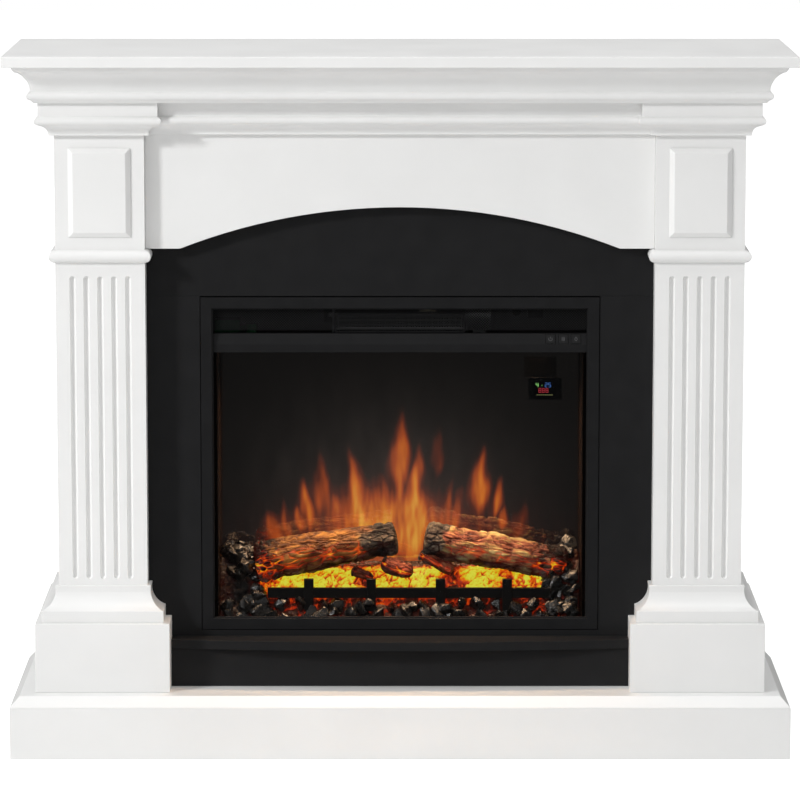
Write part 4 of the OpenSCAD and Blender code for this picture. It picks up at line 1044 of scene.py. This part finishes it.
# %% Dust filter
# Pleated black felt: matt, with a fine fibre and dark valleys.
felt = surface("black_filter_felt", "101011", 0.95, 0.8, 0.1, specular=0.1, tone=0.3)
filter_half, filter_rise, pleat, pleat_depth = 112, 22, 3, 1.0
filter_z = (grille_low.z + grille_high.z) * PER_M / 2 - 8
filter_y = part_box("case_back")[0].y * PER_M - 3.5
pleat_x = np.arange(-filter_half, filter_half + 1, pleat / 2)
felt_x, felt_z = np.meshgrid(pleat_x, np.array([-filter_rise, filter_rise]) + filter_z)
fold = np.where(np.arange(len(pleat_x)) % 2, pleat_depth, 0.0)
felt_points = np.stack([felt_x, filter_y + fold * np.ones_like(felt_x), felt_z], -1)
dust_filter = net("dust_filter", felt_points, felt, "case_back", replaced=False)
for polygon in dust_filter.data.polygons:
    polygon.use_smooth = False
felt_sheet = dust_filter.modifiers.new("sheet", "SOLIDIFY")
felt_sheet.thickness = 0.8 * MM

# %% Gland membrane
inlet_low, inlet_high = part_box("inlet_module")
membrane_radius, membrane_thick = 6 * MM, 1 * MM
gland = Vector((inlet_low.x + 14 * MM, inlet_low.y + 0.6 * MM, (inlet_low.z + inlet_high.z) / 2))
disc = bmesh.new()
bmesh.ops.create_cone(disc, cap_ends=True, segments=32, radius1=membrane_radius, radius2=membrane_radius,
                      depth=membrane_thick)
gland_mesh = bpy.data.meshes.new("gland_membrane")
disc.to_mesh(gland_mesh)
disc.free()
gland_mesh.transform(Matrix.Translation(gland) @ Matrix.Rotation(math.radians(90), 4, "X"))
set_out("gland_membrane", gland_mesh, black_foam)
print("membrane faces:", len(gland_mesh.polygons))

# %% [markdown]
# ## Display and button icons
# The display is a dark pane with lit segments behind it. Text from a font would be heavier than
# seven strokes and would look drawn, not lit. So each digit is made of the strokes of a usual
# segment display, and each icon of a few straight ones. A stroke is a thin raised bar, so it
# catches light like printed enamel.

# %% Prints
def light_print(name, colour, strength):
    """Lit enamel whose colour never is quite even."""
    made, tree, shader, place = finish(name, colour, 0.4)
    uneven = add(tree, "ShaderNodeTexNoise", {
        "Vector": place, "Scale": PER_M / 1.5, "Detail": 2.0}).outputs["Fac"]
    fit(tree, shader, {
        "Emission Color": add(tree, "ShaderNodeValToRGB", {"Fac": uneven},
                              [(0.2, darker(colour, 0.7)), (0.7, colour)]).outputs["Color"],
        "Emission Strength": strength})
    return made


# Light-emitting segments behind smoked glass: soft, and a little dull.
green = light_print("green_segments", "8FD878", 0.9)
blue = light_print("blue_segments", "3A62A8", 0.75)
red = light_print("red_segments", "A02430", 0.7)
lime = light_print("lime_bar", "8A8F58", 0.7)
# Pad-printed grey ink on the buttons: it hardly glows, and only just stands out.
icon_print = light_print("grey_icon_print", "5A5A5C", 0.05)
print("prints:", [made.name for made in (green, blue, red, lime, icon_print)])


# %% Strokes
def strokes(name, lines, centre, up, material, width_mm, body=BODY):
    """Thin bars along straight lines ((u0, v0), (u1, v1)) in mm, on a face with the given up way."""
    right = Vector((1, 0, 0))
    out = right.cross(up).normalized()
    shape = bmesh.new()
    for (u0, v0), (u1, v1) in lines:
        a, b = Vector((u0, v0)), Vector((u1, v1))
        along = (b - a).normalized()
        across = Vector((-along.y, along.x)) * width_mm / 2
        corners = [a - across, b - across, b + across, a + across]
        foot, top = [[shape.verts.new(centre + (c.x * right + c.y * up + lift * out) * MM) for c in corners]
                     for lift in (0.02, 0.14)]
        shape.faces.new(foot[::-1])
        shape.faces.new(top)
        for i in range(4):
            j = (i + 1) % 4
            shape.faces.new((foot[i], foot[j], top[j], top[i]))
    bmesh.ops.recalc_face_normals(shape, faces=shape.faces)
    mesh = bpy.data.meshes.new(name)
    shape.to_mesh(mesh)
    shape.free()
    set_out(name, mesh, material, body)


def front_face(node):
    """Centre and upward direction of the foremost large flat face of a node."""
    mesh = frame["nodes"][node].data
    facing = [p for p in mesh.polygons if p.normal.y < -0.9]
    front = max(facing, key=lambda p: p.area)
    flat = [p for p in facing if p.normal.dot(front.normal) > 0.999
            and abs((p.center - front.center).dot(front.normal)) < 0.05 * MM]
    corners = [mesh.vertices[i].co for p in flat for i in p.vertices]
    centre = Vector([(min(c[k] for c in corners) + max(c[k] for c in corners)) / 2 for k in range(3)])
    return centre, Vector((1, 0, 0)).cross(-front.normal).normalized()


display_centre, display_up = front_face("display_module")
print("display face", [round(v * PER_M, 1) for v in display_centre], [round(v, 2) for v in display_up])

# %% Draw the display
SEGMENTS = {"a": ((0, 2), (1, 2)), "b": ((1, 1), (1, 2)), "c": ((1, 0), (1, 1)), "d": ((0, 0), (1, 0)),
            "e": ((0, 0), (0, 1)), "f": ((0, 1), (0, 2)), "g": ((0, 1), (1, 1))}
DIGITS = {"2": "abged", "4": "fgbc", "5": "afgcd", "8": "abcdefg"}
digit_height = 6


def digits(text, left, foot):
    """Segment strokes for a number, from its left foot, in mm."""
    half = digit_height / 2
    found = []
    for position, digit in enumerate(text):
        start = left + position * digit_height * 0.85
        for segment in DIGITS[digit]:
            found.append([(start + u * half, foot + v * half) for u, v in SEGMENTS[segment]])
    return found


dash = [((-5, 5), (-4.1, 5))]
bar = [((-12 + 3 * i, -9), (-10 + 3 * i, -9)) for i in range(8)]
DISPLAY = (("display_mode", digits("4", -13, 2.5) + dash, green),
           ("display_reading", digits("25", 0, 2.5), blue),
           ("display_row", digits("888", -9, -5.5), red),
           ("display_bar", bar, lime))
for name, lines, material in DISPLAY:
    strokes(name, lines, display_centre, display_up, material, 0.7)
print("display strokes:", sum(len(lines) for _, lines, _ in DISPLAY))

# %% Draw the icons
open_ring = [(2.6 * math.sin(turn * 0.45), 2.6 * math.cos(turn * 0.45)) for turn in range(2, 13)]
ICONS = {"power": [*zip(open_ring, open_ring[1:]), ((0, 0.6), (0, 3.2))],
         "heat": [((-1.6, -2.6), (-1.6, 2.6)), ((0, -2.6), (0, 2.6)), ((1.6, -2.6), (1.6, 2.6))],
         "flame": [((0, 3), (2, -0.4)), ((2, -0.4), (0, -2.8)),
                   ((0, -2.8), (-2, -0.4)), ((-2, -0.4), (0, 3))]}
for name, lines in ICONS.items():
    centre, up = front_face(f"button_{name}")
    strokes(f"icon_{name}", lines, centre, up, icon_print, 0.55, body=f"{name}_button")
print("icons:", list(ICONS))

# %% [markdown]
# ## Warm light in the firebox
# The lamps under the bed also light what stands on it. Emission from the bed alone would leave the
# tops of the logs black, and many small lamps would cost render time. So one warm strip behind the
# top of the window stands for the light that the real resin scatters from above.

# %% Warm lamp
glass_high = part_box("front_glass")[1]
warm_place = (0, glass_high.y + 0.016, glass_high.z - 0.02)
warm = lamp("firebox_glow", warm_place, (0, 0.07, 0.24), 1.9, 0.2, "FFD2A4")
warm.data.spread = math.radians(110)
warm.data.shape = "RECTANGLE"
warm.data.size, warm.data.size_y = 0.44, 0.03
print("warm lamp at", [round(c, 3) for c in warm.location])
